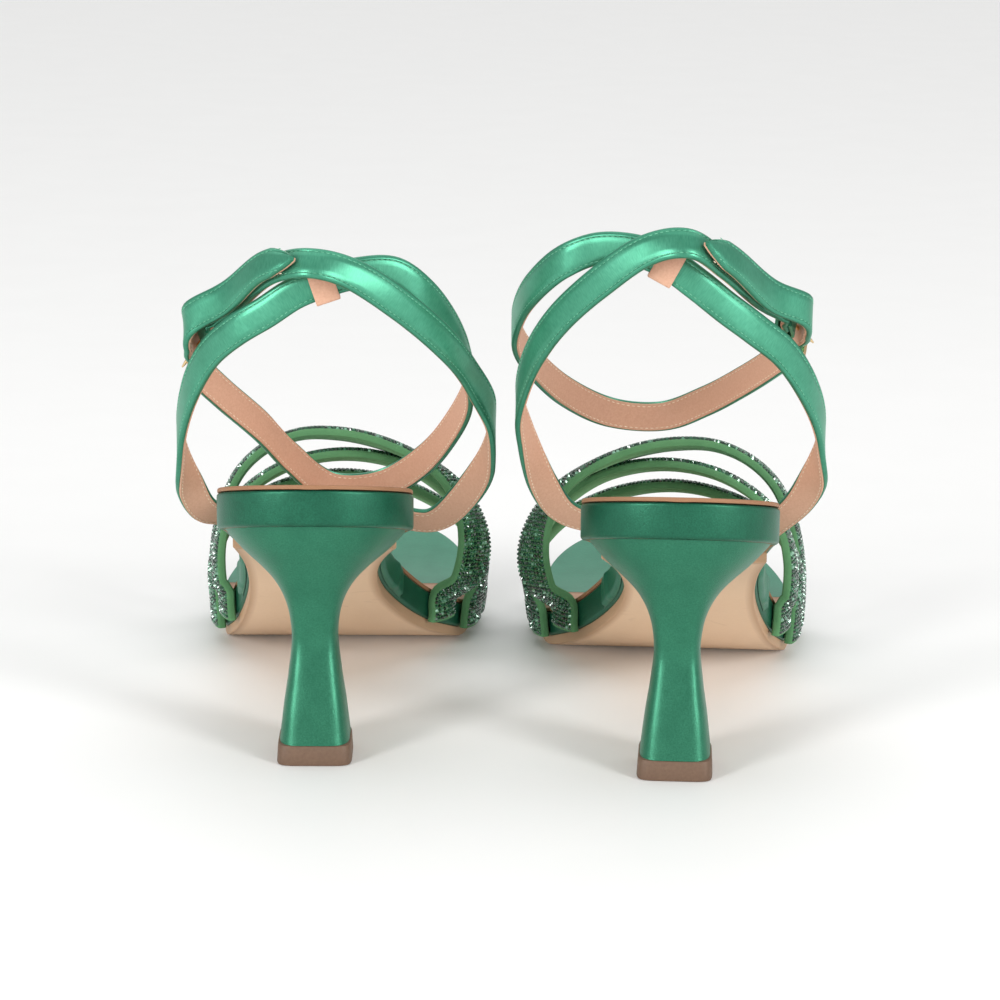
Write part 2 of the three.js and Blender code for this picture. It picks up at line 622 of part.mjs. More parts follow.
// The prong: an eye round the bar and a straight point that rests on the far bar.
function buckleProng(route) {
  const { place, across, forward, out } = buckleFrame(route);
  const eyeIn = WIRE_RADIUS + 0.15;
  const eyeOut = eyeIn + 0.55;
  const half = PRONG_RADIUS;
  const profile = [[eyeIn, -half], [eyeOut, -half], [eyeOut, half], [eyeIn, half], [eyeIn, -half]];
  const eye = new THREE.LatheGeometry(profile.map((p) => new THREE.Vector2(...p)), 12);
  // Lathe axis Y becomes the bar's direction.
  const turn = new THREE.Matrix4().makeBasis(forward, across, out);
  const centre = place(0, 0);
  eye.applyMatrix4(turn).translate(centre.x, centre.y, centre.z);
  const slope = (FAR_BAR_OUT + WIRE_RADIUS + GAP + PRONG_RADIUS) / BUCKLE_LENGTH;
  const reach = BUCKLE_LENGTH + 1.2;
  const tip = place(reach, slope * reach);
  const aim = tip.clone().sub(centre).normalize();
  const root = centre.clone().addScaledVector(aim, (eyeIn + eyeOut) / 2);
  const shaft = rod(root, tip, PRONG_RADIUS, 8);
  const joined = toSolid(eye).add(toSolid(shaft)).getMesh();
  const result = new THREE.BufferGeometry();
  result.setAttribute('position', new THREE.Float32BufferAttribute(Array.from(joined.vertProperties), 3));
  result.setIndex(Array.from(joined.triVerts));
  return result;
}

// The leather keeper behind the ankle: a flat ring round the wrap strap, under the
// buckle strap, which is sewn to it.
const KEEPER_POINT = 9; // control point of the wrap strap that the keeper rides on

function backKeeper(route) {
  const list = frames(wrapStrapPoints(route), STRAP_STEPS, tipLean);
  const { at, along, across, face } = list[KEEPER_POINT * STRAP_STEPS];
  const out = face.clone().multiplyScalar(WRAP_OUTSIDE);
  const inner = [STRAP_WIDTH / 2 + 0.5, STRAP_STACK / 2 + 0.45];
  const outer = [inner[0] + KEEPER, inner[1] + KEEPER];
  const lift = (STRAP_SATIN - STRAP_LINING) / 2;
  const corner = ([a, n], [sa, sn], u) => at.clone().addScaledVector(across, a * sa)
    .addScaledVector(out, n * sn + lift).addScaledVector(along, u);
  const half = KEEPER_WIDTH / 2;
  return loft([[1, 1], [-1, 1], [-1, -1], [1, -1]].map((sign) => [
    corner(inner, sign, -half), corner(inner, sign, half),
    corner(outer, sign, half), corner(outer, sign, -half)]), true);
}

// Satin leaf: the strap's foot, lasted flat over the rand at the waist.
const LEAF_FROM = 66;
const LEAF_TO = 102;

function waistLeaf(side) {
  const rings = [];
  const between = STATIONS.filter((s) => s > LEAF_FROM + 1 && s < LEAF_TO - 1);
  [LEAF_FROM, ...between, LEAF_TO].forEach((y) => {
    const inner = wallX(side, y) + side * GAP;
    const outer = inner + side * RAND;
    const top = layer(y, padTop);
    const low = layer(y, 0.6 + 5 * (1 - ease(LEAF_FROM, LEAF_FROM + 16, y)));
    rings.push([vec(inner, y, low), vec(outer, y, low), vec(outer, y, top), vec(inner, y, top)]);
  });
  return loft(rings);
}

// ---- crystal straps -----------------------------------------------------------
// Each entry is [x, y, z], and the ends stand on the outsole beside the rand.
const FOOT_UP = 0.9;
const FOOT_HEIGHT = 9; // the ends stand straight up beside the rand for this long
const FOOT_OUT = VAMP_LINING + 1.5 * GAP;
const VAMP_ARCS = [
  {
    inner: 126,
    outer: 166,
    turned: vec(-0.72, 0.69, 0), // it turns back round the ball of the foot
    arch: [[-44.5, 124, 26], [-47, 124.5, 36], [-45, 127.5, 46.5], [-38.5, 131, 56.5], [-27.5, 135, 63.2],
      [-14, 138.5, 67.8], [-1, 143, 69], [11, 148.5, 67], [22, 153.5, 61], [30.5, 158, 51.5],
      [36, 161.5, 38], [38.5, 164, 24]],
  },
  {
    inner: 147,
    outer: 122,
    arch: [[-49.5, 147.5, 23], [-47.5, 148, 34], [-40.5, 148, 46], [-29, 147, 55.5], [-16, 144, 60.8],
      [-2, 140.5, 62.5], [12, 135.5, 60.5], [24, 130, 54.5], [31.5, 126.5, 46], [34.5, 124, 36],
      [34.5, 122.5, 25]],
  },
  {
    inner: 166,
    outer: 142,
    arch: [[-48.8, 166, 22], [-46, 165.7, 30.5], [-37.2, 163.5, 39.8], [-23, 159, 48], [-8, 153.5, 52.5],
      [6, 150, 52.5], [20, 147, 48.5], [30, 144.5, 41.5], [35.5, 143, 33], [37.5, 142, 24]],
  },
];

// Direction of the sole's edge, which the strap's foot lies along.
const edgeRun = (side, y) => vec(wallX(side, y + 6) - wallX(side, y - 6), 12, base(y + 6) - base(y - 6));

function vampFoot(side, y, up, out) {
  return vec(wallX(side, y) + side * (FOOT_OUT + out), y, base(y) + up);
}

// Direction across the straps over the toes, from the ankle forwards.
const OVER_TOES = vec(0.1, 1, -0.3).normalize();

function vampList({ inner, outer, arch, turned = OVER_TOES }) {
  const points = [vampFoot(-1, inner, FOOT_UP, 0), vampFoot(-1, inner, FOOT_HEIGHT, 1),
    ...arch.map((p) => vec(...p)), vampFoot(1, outer, FOOT_HEIGHT, 0.5), vampFoot(1, outer, FOOT_UP, 0)];
  const ends = [edgeRun(-1, inner).normalize(), edgeRun(1, outer).normalize()];
  const hint = (t) => {
    if (t > 0.5) return OVER_TOES.clone().lerp(ends[1], (2 * t - 1) ** 2);
    const side = ends[0].clone().lerp(turned, ease(0.07, 0.17, t));
    return side.lerp(OVER_TOES, ease(0.1, 0.5, t));
  };
  return frames(points, 1, hint);
}

const vampCrystals = (arc) => ribbon(vampList(arc),
  crownSection(VAMP_WIDTH, GAP / 2, GAP / 2 + VAMP_CRYSTAL), 1);
const vampLining = (arc) => ribbon(vampList(arc),
  flatSection(VAMP_WIDTH, -GAP / 2, -GAP / 2 - VAMP_LINING), 1);

// ---- materials ----------------------------------------------------------------
const matter = (color, roughness, metalness = 0) => new THREE.MeshStandardMaterial({
  color, roughness, metalness,
});
const SATIN = matter(0x2f8a68, 0.38);
const STRAP = matter(0x3f9d78, 0.42);
const TAN = matter(0xd9ad92, 0.6);
const SOLE = matter(0xd8b898, 0.55);
const SUEDE = matter(0x5f9068, 0.9);
const CRYSTAL = matter(0x24503a, 0.3);
const RUBBER = matter(0x80624c, 0.65);
const GOLD = matter(0xe3c68f, 0.25, 1);
const STEEL = matter(0x9a9c9f, 0.35, 1);
const BOARDING = matter(0x9c7b58, 0.8);
const FOAM = matter(0xe6dcc2, 0.9);
const PLASTIC = matter(0xd5d0c4, 0.5);

// ---- one sandal ---------------------------------------------------------------
function sandal(name, route) {
  const shoe = new THREE.Group();
  const add = (piece, geometry, material) => {
    const mesh = new THREE.Mesh(geometry, material);
    mesh.name = `${name}_${piece}`;
    shoe.add(mesh);
  };
  add('outsole', outsole(), SOLE);
  add('insole_board', insoleBoard(), BOARDING);
  add('shank', shank(), STEEL);
  add('footbed_padding', footbedPadding(), FOAM);
  add('rand_cover', randCover(), SATIN);
  add('sock_lining', sockLining(), TAN);
  add('toe_sock', toeSock(), SATIN);
  add('heel_core', heelCore(), PLASTIC);
  add('heel_cover', heelCover(), SATIN);
  add('top_piece', topPiece(), RUBBER);
  add('top_piece_dowel', dowel(), STEEL);
  Object.entries(SEAT_FASTENERS).forEach(([piece, spec]) => add(piece, fastener(spec), STEEL));
  add('waist_leaf_inner', waistLeaf(-1), STRAP);
  add('waist_leaf_outer', waistLeaf(1), STRAP);
  add('wrap_strap', wrapStrap(route, satinSection), STRAP);
  add('wrap_strap_lining', wrapStrap(route, liningSection), TAN);
  add('buckle_strap', buckleStrap(route, satinSection), STRAP);
  add('buckle_strap_lining', buckleStrap(route, liningSection), TAN);
  add('back_keeper', backKeeper(route), TAN);
  add('buckle_tab', buckleTab(route), STRAP);
  add('buckle_frame', buckleRing(route), GOLD);
  add('buckle_prong', buckleProng(route), GOLD);
  VAMP_ARCS.forEach((arc, i) => {
    add(`crystal_strap_${i + 1}`, vampCrystals(arc), CRYSTAL);
    add(`crystal_strap_${i + 1}_lining`, vampLining(arc), SUEDE);
  });
  return shoe;
}

// ---- the pair -----------------------------------------------------------------
const right = sandal('right', ROUTES.right);
right.position.set(HALF_SPACING, -STAGGER / 2, 0);
right.rotation.z = -RIGHT_TOE_OUT;

const left = sandal('left', ROUTES.left);
left.position.set(-HALF_SPACING, STAGGER / 2, 0);
left.rotation.z = LEFT_TOE_OUT;
left.scale.x = -1;

const pair = new THREE.Group();
pair.add(right, left);
pair.updateMatrixWorld(true);
const extent = new THREE.Box3().setFromObject(pair, true);
const middle = extent.getCenter(vec(0, 0, 0));
pair.position.set(-middle.x, -middle.y, -extent.min.z);

export default pair;
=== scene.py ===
# A pair of evening sandals: satin platforms and flared heels, three crystal straps over
# the toes, and a satin strap that wraps each ankle and closes in a small gilt buckle.
# Shapes are worked out in millimetres in each shoe's own frame (x = 0 on the heel's centre
# line and positive to the outside of the foot, y = 0 at the back of the heel seat), then
# put into the pair's frame in metres.
import math
import bmesh
import bpy
from mathutils import Matrix, Vector


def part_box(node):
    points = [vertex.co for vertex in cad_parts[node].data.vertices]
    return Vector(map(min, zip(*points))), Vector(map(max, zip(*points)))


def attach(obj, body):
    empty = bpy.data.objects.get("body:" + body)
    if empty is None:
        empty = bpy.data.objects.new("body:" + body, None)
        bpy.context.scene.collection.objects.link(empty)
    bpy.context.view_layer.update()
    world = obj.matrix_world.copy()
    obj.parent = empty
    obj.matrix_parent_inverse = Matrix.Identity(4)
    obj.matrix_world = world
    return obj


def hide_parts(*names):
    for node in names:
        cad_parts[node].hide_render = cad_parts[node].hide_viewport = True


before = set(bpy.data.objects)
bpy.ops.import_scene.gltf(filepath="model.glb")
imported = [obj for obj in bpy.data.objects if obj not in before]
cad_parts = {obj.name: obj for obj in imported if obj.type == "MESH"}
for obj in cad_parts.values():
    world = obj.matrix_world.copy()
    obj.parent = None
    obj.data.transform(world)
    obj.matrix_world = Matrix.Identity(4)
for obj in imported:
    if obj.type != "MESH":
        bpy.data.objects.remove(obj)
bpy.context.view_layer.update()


# ---- table, light and camera ----
# The pair stands on a plain white table under a wide soft skylight, with a tall soft lamp
# on each side behind the camera. The camera looks down a little at the backs of the heels.
class Wire:
    """A value in a node tree that can be used in sums."""

    def __init__(self, nodes, socket):
        self.nodes = nodes
        self.socket = socket

    def sum(self, operation, first, second):
        return self.nodes.node("ShaderNodeMath", {0: first, 1: second}, operation=operation)

    def __add__(self, other):
        return self.sum("ADD", self, other)

    def __radd__(self, other):
        return self.sum("ADD", other, self)

    def __mul__(self, other):
        return self.sum("MULTIPLY", self, other)

    def __rmul__(self, other):
        return self.sum("MULTIPLY", other, self)


class Nodes:
    """Adds nodes to a tree."""

    def __init__(self, tree):
        self.tree = tree

    def node(self, kind, inputs=None, out=0, **settings):
        """Adds a node and returns one of its outputs. A ramp's stops are (place, colour) pairs."""
        added = self.tree.nodes.new(kind)
        for key, value in settings.items():
            if key == "stops":
                ramp = added.color_ramp.elements
                while len(ramp) < len(value):
                    ramp.new(0.5)
                for element, (place, colour) in zip(ramp, value):
                    element.position = place
                    element.color = colour
            else:
                setattr(added, key, value)
        for key, value in (inputs or {}).items():
            self.feed(added.inputs[key], value)
        return Wire(self, added.outputs[out])

    def feed(self, socket, value):
        if isinstance(value, Wire):
            self.tree.links.new(value.socket, socket)
        else:
            socket.default_value = value


class Finish(Nodes):
    """A material built on one Principled shader."""

    def __init__(self, name, **sockets):
        self.material = bpy.data.materials.new(name)
        self.material.use_nodes = True
        super().__init__(self.material.node_tree)
        self.shader = self.tree.nodes["Principled BSDF"]
        self.set(**sockets)

    def set(self, **sockets):
        for key, value in sockets.items():
            self.feed(self.shader.inputs[key.replace("_", " ")], value)

    def mix(self, mask, low, high):
        return self.node("ShaderNodeMix", {0: mask, 6: low, 7: high}, out=2, data_type="RGBA")

    def paint(self, mask, low, high, **sockets):
        """Colours the surface between two paints, by a mask."""
        self.set(Base_Color=self.mix(mask, dye(*low), dye(*high)), **sockets)

    def speckle(self, size_mm, detail=2.0, stretch=(1, 1, 1), distortion=0.0):
        """Noise on Object coordinates, 0 to 1, with grains of this size."""
        where = self.node("ShaderNodeTexCoord", out=3)
        placed = self.node("ShaderNodeMapping", {0: where, 3: stretch})
        return self.node("ShaderNodeTexNoise", {
            "Vector": placed, "Scale": 1000 / size_mm, "Detail": detail, "Distortion": distortion})

    def band(self, value, start, end):
        """0 below start, 1 above end, smooth between."""
        return self.node("ShaderNodeMapRange", {0: value, 1: start, 2: end},
                         interpolation_type="SMOOTHSTEP")

    def attribute(self, name):
        return self.node("ShaderNodeAttribute", out=2, attribute_name=name)

    def bump(self, height, strength, depth_mm):
        return self.node("ShaderNodeBump", {"Strength": strength, "Distance": depth_mm / 1000,
                                            "Height": height})


def dye(red, green, blue):
    """A colour from a paint card, 0 to 255 each, as light."""
    def light(value):
        share = value / 255
        return share / 12.92 if share <= 0.04045 else ((share + 0.055) / 1.055) ** 2.4
    return light(red), light(green), light(blue), 1.0


def add_object(name, data):
    made = bpy.data.objects.new(name, data)
    bpy.context.collection.objects.link(made)
    return made


TABLE_SIZE = 9.0
bpy.ops.mesh.primitive_plane_add(size=TABLE_SIZE, location=(0, 2.0, 0))
table = bpy.context.object
table.name = "white_table"
laminate = Finish("white_table", Roughness=0.55)
laminate.paint(laminate.speckle(40.0), (240, 240, 239), (243, 243, 242))
table.data.materials.append(laminate.material)

room = bpy.data.worlds.new("room")
room.use_nodes = True
room.node_tree.nodes["Background"].inputs["Color"].default_value = (1.0, 1.0, 1.0, 1.0)
room.node_tree.nodes["Background"].inputs["Strength"].default_value = 0.42
bpy.context.scene.world = room
bpy.context.scene.view_settings.view_transform = "Standard"


def softbox(name, place, target, width, height, watts):
    lamp = bpy.data.lights.new(name, "AREA")
    lamp.shape = "RECTANGLE"
    lamp.size = width
    lamp.size_y = height
    lamp.energy = watts
    holder = add_object(name, lamp)
    holder.location = place
    holder.rotation_euler = (Vector(target) - Vector(place)).to_track_quat("-Z", "Y").to_euler()


softbox("left_softbox", (-1.5, -1.7, 0.75), (0, -0.05, 0.08), 0.5, 1.3, 34)
softbox("right_softbox", (1.5, -1.5, 0.75), (0, -0.05, 0.08), 0.5, 1.3, 30)

skylight = bpy.data.lights.new("skylight", "SUN")
skylight.energy = 1.5
skylight.angle = 1.6
add_object("skylight", skylight).rotation_euler = (-0.45, 0.0, 0.0)

TOE_OUT = {"right": 0.062, "left": 0.016}  # radians that each shoe is turned outwards
CAMERA_BACK = 0.8969  # behind the heel seats of the pair's front shoe
CAMERA_HEIGHT = 0.2975
CAMERA_SIDE = 0.0016  # to the right of the middle of the pair
CAMERA_PITCH = 0.236  # radians down
CAMERA_ROLL = -0.008
CAMERA_LENS = 118.2  # millimetres on a 36 mm sensor
TOP_PIECE_CENTRE = 19.8  # millimetres in front of the back of the heel seat


def seat_back(name):
    """Where the back of a shoe's heel seat is, over the floor, in metres."""
    low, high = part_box(f"{name}_top_piece")
    hand = 1 if name == "right" else -1
    reach = TOP_PIECE_CENTRE / 1000
    turn = TOE_OUT[name]
    middle = (low + high) / 2
    return Vector((middle.x - hand * reach * math.sin(turn), middle.y - reach * math.cos(turn), 0))


eye = bpy.data.cameras.new("photographer")
eye.lens = CAMERA_LENS
eye.sensor_width = 36
eye.clip_end = 50
camera = add_object("photographer", eye)
camera.location = ((seat_back("left").x + seat_back("right").x) / 2 + CAMERA_SIDE,
                   seat_back("left").y - CAMERA_BACK, CAMERA_HEIGHT)
camera.rotation_euler = (Matrix.Rotation(math.pi / 2 - CAMERA_PITCH, 3, "X")
                         @ Matrix.Rotation(-CAMERA_ROLL, 3, "Z")).to_euler()
bpy.context.scene.camera = camera


# ---- outsole ----
# A thin sole of smooth light leather, from the heel's breast round the toe. It is cut out,
# its edge is inked brown and darkened with painted shade, and it is cemented under the satin-covered
# footbed.
SOLE_LENGTH = 228
SEAT_WIDTH = 57
WAIST_WIDTH = 41.5
BALL_WIDTH = 83
HEEL_LIFT = 70.7
TOE_SPRING = 8.5
SEAT_THICK = 11.6  # footbed at the heel
FORE_THICK = 9  # footbed at the ball and toes
OUTSOLE_THICK = 2.7
SEAT_Y, WAIST_Y, BALL_Y = 29, 80, 162
TREAD_START, TREAD_END = 150, 166
SEAT_ROUND, TOE_ROUND = 2.15, 2.6
WAIST_SHIFT, BALL_SHIFT, TOE_SHIFT = 3, -5, -8
SOLE_GAP = 0.3
CEMENT = 0.02  # between the outsole and the footbed
THINS_FROM, THINS_TO = 60, 140  # where the footbed gets thinner
FLOOR_PLANE = OUTSOLE_THICK + SOLE_GAP
ARCH = [(0, 1), (25, 0.9), (45, 0.81), (70, 0.63), (95, 0.38), (120, 0.155),
        (140, 0.035), (TREAD_START, 0), (TREAD_END, 0), (SOLE_LENGTH, 0)]


def clamp01(value):
    return min(max(value, 0.0), 1.0)


def mix(low, high, share):
    return low + (high - low) * share


def ease(start, end, value):
    share = clamp01((value - start) / (end - start))
    return share * share * (3 - 2 * share)


def through(points, x):
    """Smooth curve through (x, value) points."""
    last = len(points) - 1

    def slope(k):
        before, after = points[max(k - 1, 0)], points[min(k + 1, last)]
        return (after[1] - before[1]) / (after[0] - before[0])

    k = 0
    while k < last - 1 and points[k + 1][0] <= x:
        k += 1
    span = points[k + 1][0] - points[k][0]
    share = clamp01((x - points[k][0]) / span)
    rise = points[k + 1][1] - points[k][1]
    m0, m1 = slope(k) * span, slope(k + 1) * span
    return points[k][1] + share * (m0 + share * (3 * rise - 2 * m0 - m1 + share * (m0 + m1 - 2 * rise)))


def foot_centre(y):
    return (WAIST_SHIFT * ease(SEAT_Y, WAIST_Y, y) + (BALL_SHIFT - WAIST_SHIFT) * ease(WAIST_Y, BALL_Y, y)
            + (TOE_SHIFT - BALL_SHIFT) * ease(BALL_Y, SOLE_LENGTH, y))


def round_end(share, power):
    return (1 - clamp01(share) ** power) ** (1 / power)


def half_width(y, inset=0.0):
    seat, waist, ball = (width / 2 - inset for width in (SEAT_WIDTH, WAIST_WIDTH, BALL_WIDTH))
    if y < SEAT_Y:
        return seat * round_end((SEAT_Y - y) / (SEAT_Y - inset), SEAT_ROUND)
    if y > BALL_Y:
        return ball * round_end((y - BALL_Y) / (SOLE_LENGTH - BALL_Y - inset), TOE_ROUND)
    if y < WAIST_Y:
        return mix(seat, waist, ease(SEAT_Y, WAIST_Y, y))
    return mix(waist, ball, ease(WAIST_Y, BALL_Y, y))


def edge_x(side, y, inset=0.0):
    return foot_centre(y) + side * half_width(y, inset)


def underside(y):
    curl = clamp01((y - TREAD_END) / (SOLE_LENGTH - TREAD_END))
    return FLOOR_PLANE + HEEL_LIFT * through(ARCH, y) + TOE_SPRING * curl ** 2


def thickness(y):
    return mix(SEAT_THICK, FORE_THICK, ease(THINS_FROM, THINS_TO, y))


def raised(y, up):
    """A height above the footbed's underside, measured square to it."""
    return underside(y) + up * math.hypot(1, underside(y + 0.5) - underside(y - 0.5))


def cover(piece, finish):
    piece.data.materials.clear()
    piece.data.materials.append(finish.material)


class Shoe:
    """One shoe: its name, its hand (1 right, -1 left) and its place in the pair."""

    def __init__(self, name, hand):
        self.name = name
        self.hand = hand
        self.place = Matrix.Translation(seat_back(name)) @ Matrix.Rotation(-hand * TOE_OUT[name], 4, "Z")

    def put(self, point):
        x, y, z = point
        return self.place @ Vector((self.hand * x / 1000, y / 1000, z / 1000))

    def piece(self, name, points, faces, finish, slot, body="shoes", replaces=(), marks=None,
              crease=40):
        """Makes a closed piece from points in millimetres. marks are values stored per point."""
        mesh = bpy.data.meshes.new(f"{self.name}_{name}")
        mesh.from_pydata([self.put(p) for p in points], [], faces)
        for mark, values in (marks or {}).items():
            mesh.attributes.new(mark, "FLOAT", "POINT").data.foreach_set("value", values)
        shape = bmesh.new()
        shape.from_mesh(mesh)
        bmesh.ops.remove_doubles(shape, verts=shape.verts, dist=2e-6)
        bmesh.ops.recalc_face_normals(shape, faces=shape.faces)
        shape.to_mesh(mesh)
        shape.free()
        mesh.shade_smooth()
        mesh.set_sharp_from_angle(angle=math.radians(crease))
        return self.settle(add_object(mesh.name, mesh), finish, slot, body, replaces)

    def settle(self, made, finish, slot, body="shoes", replaces=()):
        cover(made, finish)
        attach(made, body)
        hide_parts(*(f"{self.name}_{node}" for node in replaces))
        return made


def skin(rings, ladder=False, closed=False):
    """Points and faces of a skin over rings of equal length, with both ends filled in.
    A ladder cap joins the ring's first half to its second half across the middle."""
    count = len(rings[0])
    points = [p for ring in rings for p in ring]
    faces = []
    rows = len(rings) if closed else len(rings) - 1
    for i in range(rows):
        here, there = i * count, ((i + 1) % len(rings)) * count
        faces += [(here + j, here + (j + 1) % count, there + (j + 1) % count, there + j)
                  for j in range(count)]
    if not closed:
        for first in (0, (len(rings) - 1) * count):
            if ladder:
                faces += [(first + j, first + j + 1, first + count - 2 - j, first + count - 1 - j)
                          for j in range(count // 2 - 1)]
            else:
                faces.append(tuple(first + j for j in range(count)))
    return points, faces


def sole_layer(low, high, inset, low_round, high_round, start=0, end=SOLE_LENGTH):
    """A sheet of the sole between two heights, with rounded edges. Returns points, faces
    and a mark that is 1 on the wall and 0 on the flat faces."""
    arc, lip, steps = 5, 2.5, 90
    profile = [(inset + low_round + lip, 0, 0.0, 0)]
    for k in range(arc + 1):
        angle = math.pi / 2 * k / arc
        profile.append((inset + low_round * (1 - math.sin(angle)), 0,
                        low_round * (1 - math.cos(angle)), 1))
    for k in range(arc + 1):
        angle = math.pi / 2 * k / arc
        profile.append((inset + high_round * (1 - math.cos(angle)), 1,
                        high_round * (math.sin(angle) - 1), 1))
    profile.append((inset + high_round + lip, 1, 0.0, 0))
    shares = [(1 - math.cos(math.pi * i / steps)) / 2 for i in range(steps + 1)]
    rings = []
    marks = []
    for ring_inset, top, lift, wall in profile:
        sides = {1: [], -1: []}
        for share in shares:
            y = mix(start + ring_inset, end - ring_inset, share)
            up = (high(y) if top else low(y)) + lift
            for side in sides:
                sides[side].append((edge_x(side, y, ring_inset), y, max(raised(y, up), 0.0)))
        rings.append(sides[1] + sides[-1][::-1])
        marks += [wall] * len(rings[-1])
    points, faces = skin(rings, ladder=True)
    return points, faces, {"wall": [float(mark) for mark in marks]}


SHOES = [Shoe("right", 1), Shoe("left", -1)]

sole_leather = Finish("sole_leather", Roughness=0.5, Specular_IOR_Level=0.35)
cloud = sole_leather.speckle(28.0, 4.0)
grain = sole_leather.speckle(0.9, 3.0)
scuff = sole_leather.band(sole_leather.speckle(6.0, 5.0, (0.35, 1.0, 1.0), 1.5), 0.62, 0.72)
sole_tan = sole_leather.mix(cloud, dye(214, 180, 148), dye(228, 199, 168))
sole_tan = sole_leather.mix(grain * 0.25, sole_tan, dye(198, 160, 126))
sole_tan = sole_leather.mix(scuff * 0.16, sole_tan, dye(170, 132, 100))
# Painted shade: the side wall is coloured a darker tan, partly edge ink and partly painted shade.
edge_ink_and_shade = sole_leather.attribute("wall")
sole_leather.set(Base_Color=sole_leather.mix(edge_ink_and_shade, sole_tan, dye(182, 146, 114)),
                 Normal=sole_leather.bump(grain, 0.25, 0.15))

OUTSOLE_BACK = 50.3  # the heel's breast
for shoe in SHOES:
    points, faces, marks = sole_layer(lambda y: -FLOOR_PLANE, lambda y: -CEMENT, inset=1.0,
                                      low_round=0.5, high_round=0.3, start=OUTSOLE_BACK)
    shoe.piece("outsole", points, faces, sole_leather, "outsole", replaces=["outsole"], marks=marks)


# ---- satin rand ----
# The edge of the thick footbed is wrapped in green satin, pulled tight round the board and
# glued under. Its weave is fine, with a soft gleam, and it puckers slightly along the arch.
SOCK_THICK = 1.2
RAND_DROP = 0.25  # the rand ends this far under the sock


def satin(name, deep, bright, streak=(1, 1, 1), metal=0.6):
    """Silk satin: a soft tinted gleam over a fine, slightly uneven weave."""
    cloth = Finish(name, Metallic=metal, Specular_IOR_Level=0.5, Anisotropic=0.5,
                   Sheen_Weight=0.15, Sheen_Roughness=0.4, Sheen_Tint=bright)
    weave = cloth.speckle(0.45, 2.0, streak)
    slub = cloth.speckle(7.0, 3.0)
    colour = cloth.mix(weave, deep, bright)
    colour = cloth.mix(cloth.band(slub, 0.35, 0.75) * 0.35, colour, deep)
    cloth.set(Base_Color=colour, Roughness=0.27 + weave * 0.16,
              Normal=cloth.bump(weave + slub * 0.6, 0.5, 0.12))
    return cloth


rand_satin = satin("rand_satin", dye(12, 74, 54), dye(40, 116, 88))
for shoe in SHOES:
    points, faces, marks = sole_layer(lambda y: 0.0, lambda y: thickness(y) - SOCK_THICK - RAND_DROP,
                                      inset=0.0, low_round=1.1, high_round=0.9)
    shoe.piece("rand", points, faces, rand_satin, "satin", replaces=["rand_cover", "footbed_padding"])


# ---- inside the footbed ----
# A pressed-fibre board stiffened by a steel shank lies under the filling, and a screw and
# two nails hold the heel block. None of it shows; each has its own plain finish.
fibre = Finish("fibreboard", Roughness=0.85)
fibre.paint(fibre.speckle(1.5, 4.0), (128, 96, 62), (168, 132, 92))
steel = Finish("blank_steel", Metallic=1.0)
haze = steel.speckle(2.5, 3.0, (1, 6, 1))
steel.paint(haze, (150, 152, 155), (186, 188, 190), Roughness=0.25 + haze * 0.25)
heel_plastic = Finish("heel_plastic", Roughness=0.5)
heel_plastic.paint(heel_plastic.speckle(9.0), (206, 200, 186), (218, 213, 200))
HIDDEN = {"insole_board": fibre, "shank": steel, "top_piece_dowel": steel, "heel_screw": steel,
          "heel_nail_inner": steel, "heel_nail_outer": steel, "heel_core": heel_plastic}
for shoe in SHOES:
    for node, finish in HIDDEN.items():
        cover(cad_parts[f"{shoe.name}_{node}"], finish)


# ---- sock lining and toe sock ----
# The foot stands on a sock of smooth tan leather from the heel to the ball; in front of it
# the footbed is faced with green satin. Both are skived thin and glued on last.
SOCK_END = 170
SEAM = 0.2  # between the two socks
TOE_SOCK_THICK = 0.9
tan_leather = Finish("tan_leather", Roughness=0.55, Specular_IOR_Level=0.35)
pores = tan_leather.speckle(0.55, 3.0)
wash = tan_leather.speckle(18.0, 3.0)
tan = tan_leather.mix(wash, dye(196, 146, 116), dye(216, 170, 142))
tan = tan_leather.mix(pores * 0.3, tan, dye(176, 126, 96))
tan_leather.set(Base_Color=tan_leather.mix(tan_leather.attribute("wall"), tan, dye(150, 108, 78)),
                Normal=tan_leather.bump(pores, 0.3, 0.1))
toe_satin = satin("toe_satin", dye(30, 104, 80), dye(66, 140, 112))
for shoe in SHOES:
    points, faces, marks = sole_layer(lambda y: thickness(y) - SOCK_THICK, thickness,
                                      inset=0.2, low_round=0.2, high_round=0.5, end=SOCK_END)
    shoe.piece("sock", points, faces, tan_leather, "tan_leather", replaces=["sock_lining"], marks=marks)
    points, faces, marks = sole_layer(lambda y: thickness(y) - SOCK_THICK,
                                      lambda y: thickness(y) - SOCK_THICK + TOE_SOCK_THICK,
                                      inset=0.25, low_round=0.2, high_round=0.5,
                                      start=SOCK_END + SEAM)
    shoe.piece("toe_sock", points, faces, toe_satin, "satin", replaces=["toe_sock"])


# ---- heel ----
# A moulded block, wide under the seat, narrow in the neck and flared again at the foot,
# with its back corners squared. Satin is stretched over it in one piece, without a seam.
# Rings: share of the height, back y, front y, width, how square the back is.
TOP_PIECE_WIDTH, TOP_PIECE_DEPTH, TOP_PIECE_HEIGHT = 21.8, 22.5, 6
NECK_WIDTH = 13.4
HEEL_RINGS = [
    (0, 8.8, 31, TOP_PIECE_WIDTH - 1.4, 5), (0.16, 10.6, 29.6, 18, 5), (0.3, 12.6, 29, 15.4, 5),
    (0.46, 14.6, 29.4, NECK_WIDTH, 5), (0.58, 13.6, 31, 14.6, 4.5), (0.67, 12, 34, 17.8, 4),
    (0.75, 9.9, 37.6, 23.4, 3.2), (0.82, 7.8, 41.4, 31, 2.7), (0.9, 5, 45.6, 41, 2.4),
    (1, 2.4, 50, SEAT_WIDTH - 5, SEAT_ROUND)]
HEEL_SIDES = 72
HEEL_GAP = 0.05  # between the heel and the rand
FRONT_SQUARE = 6


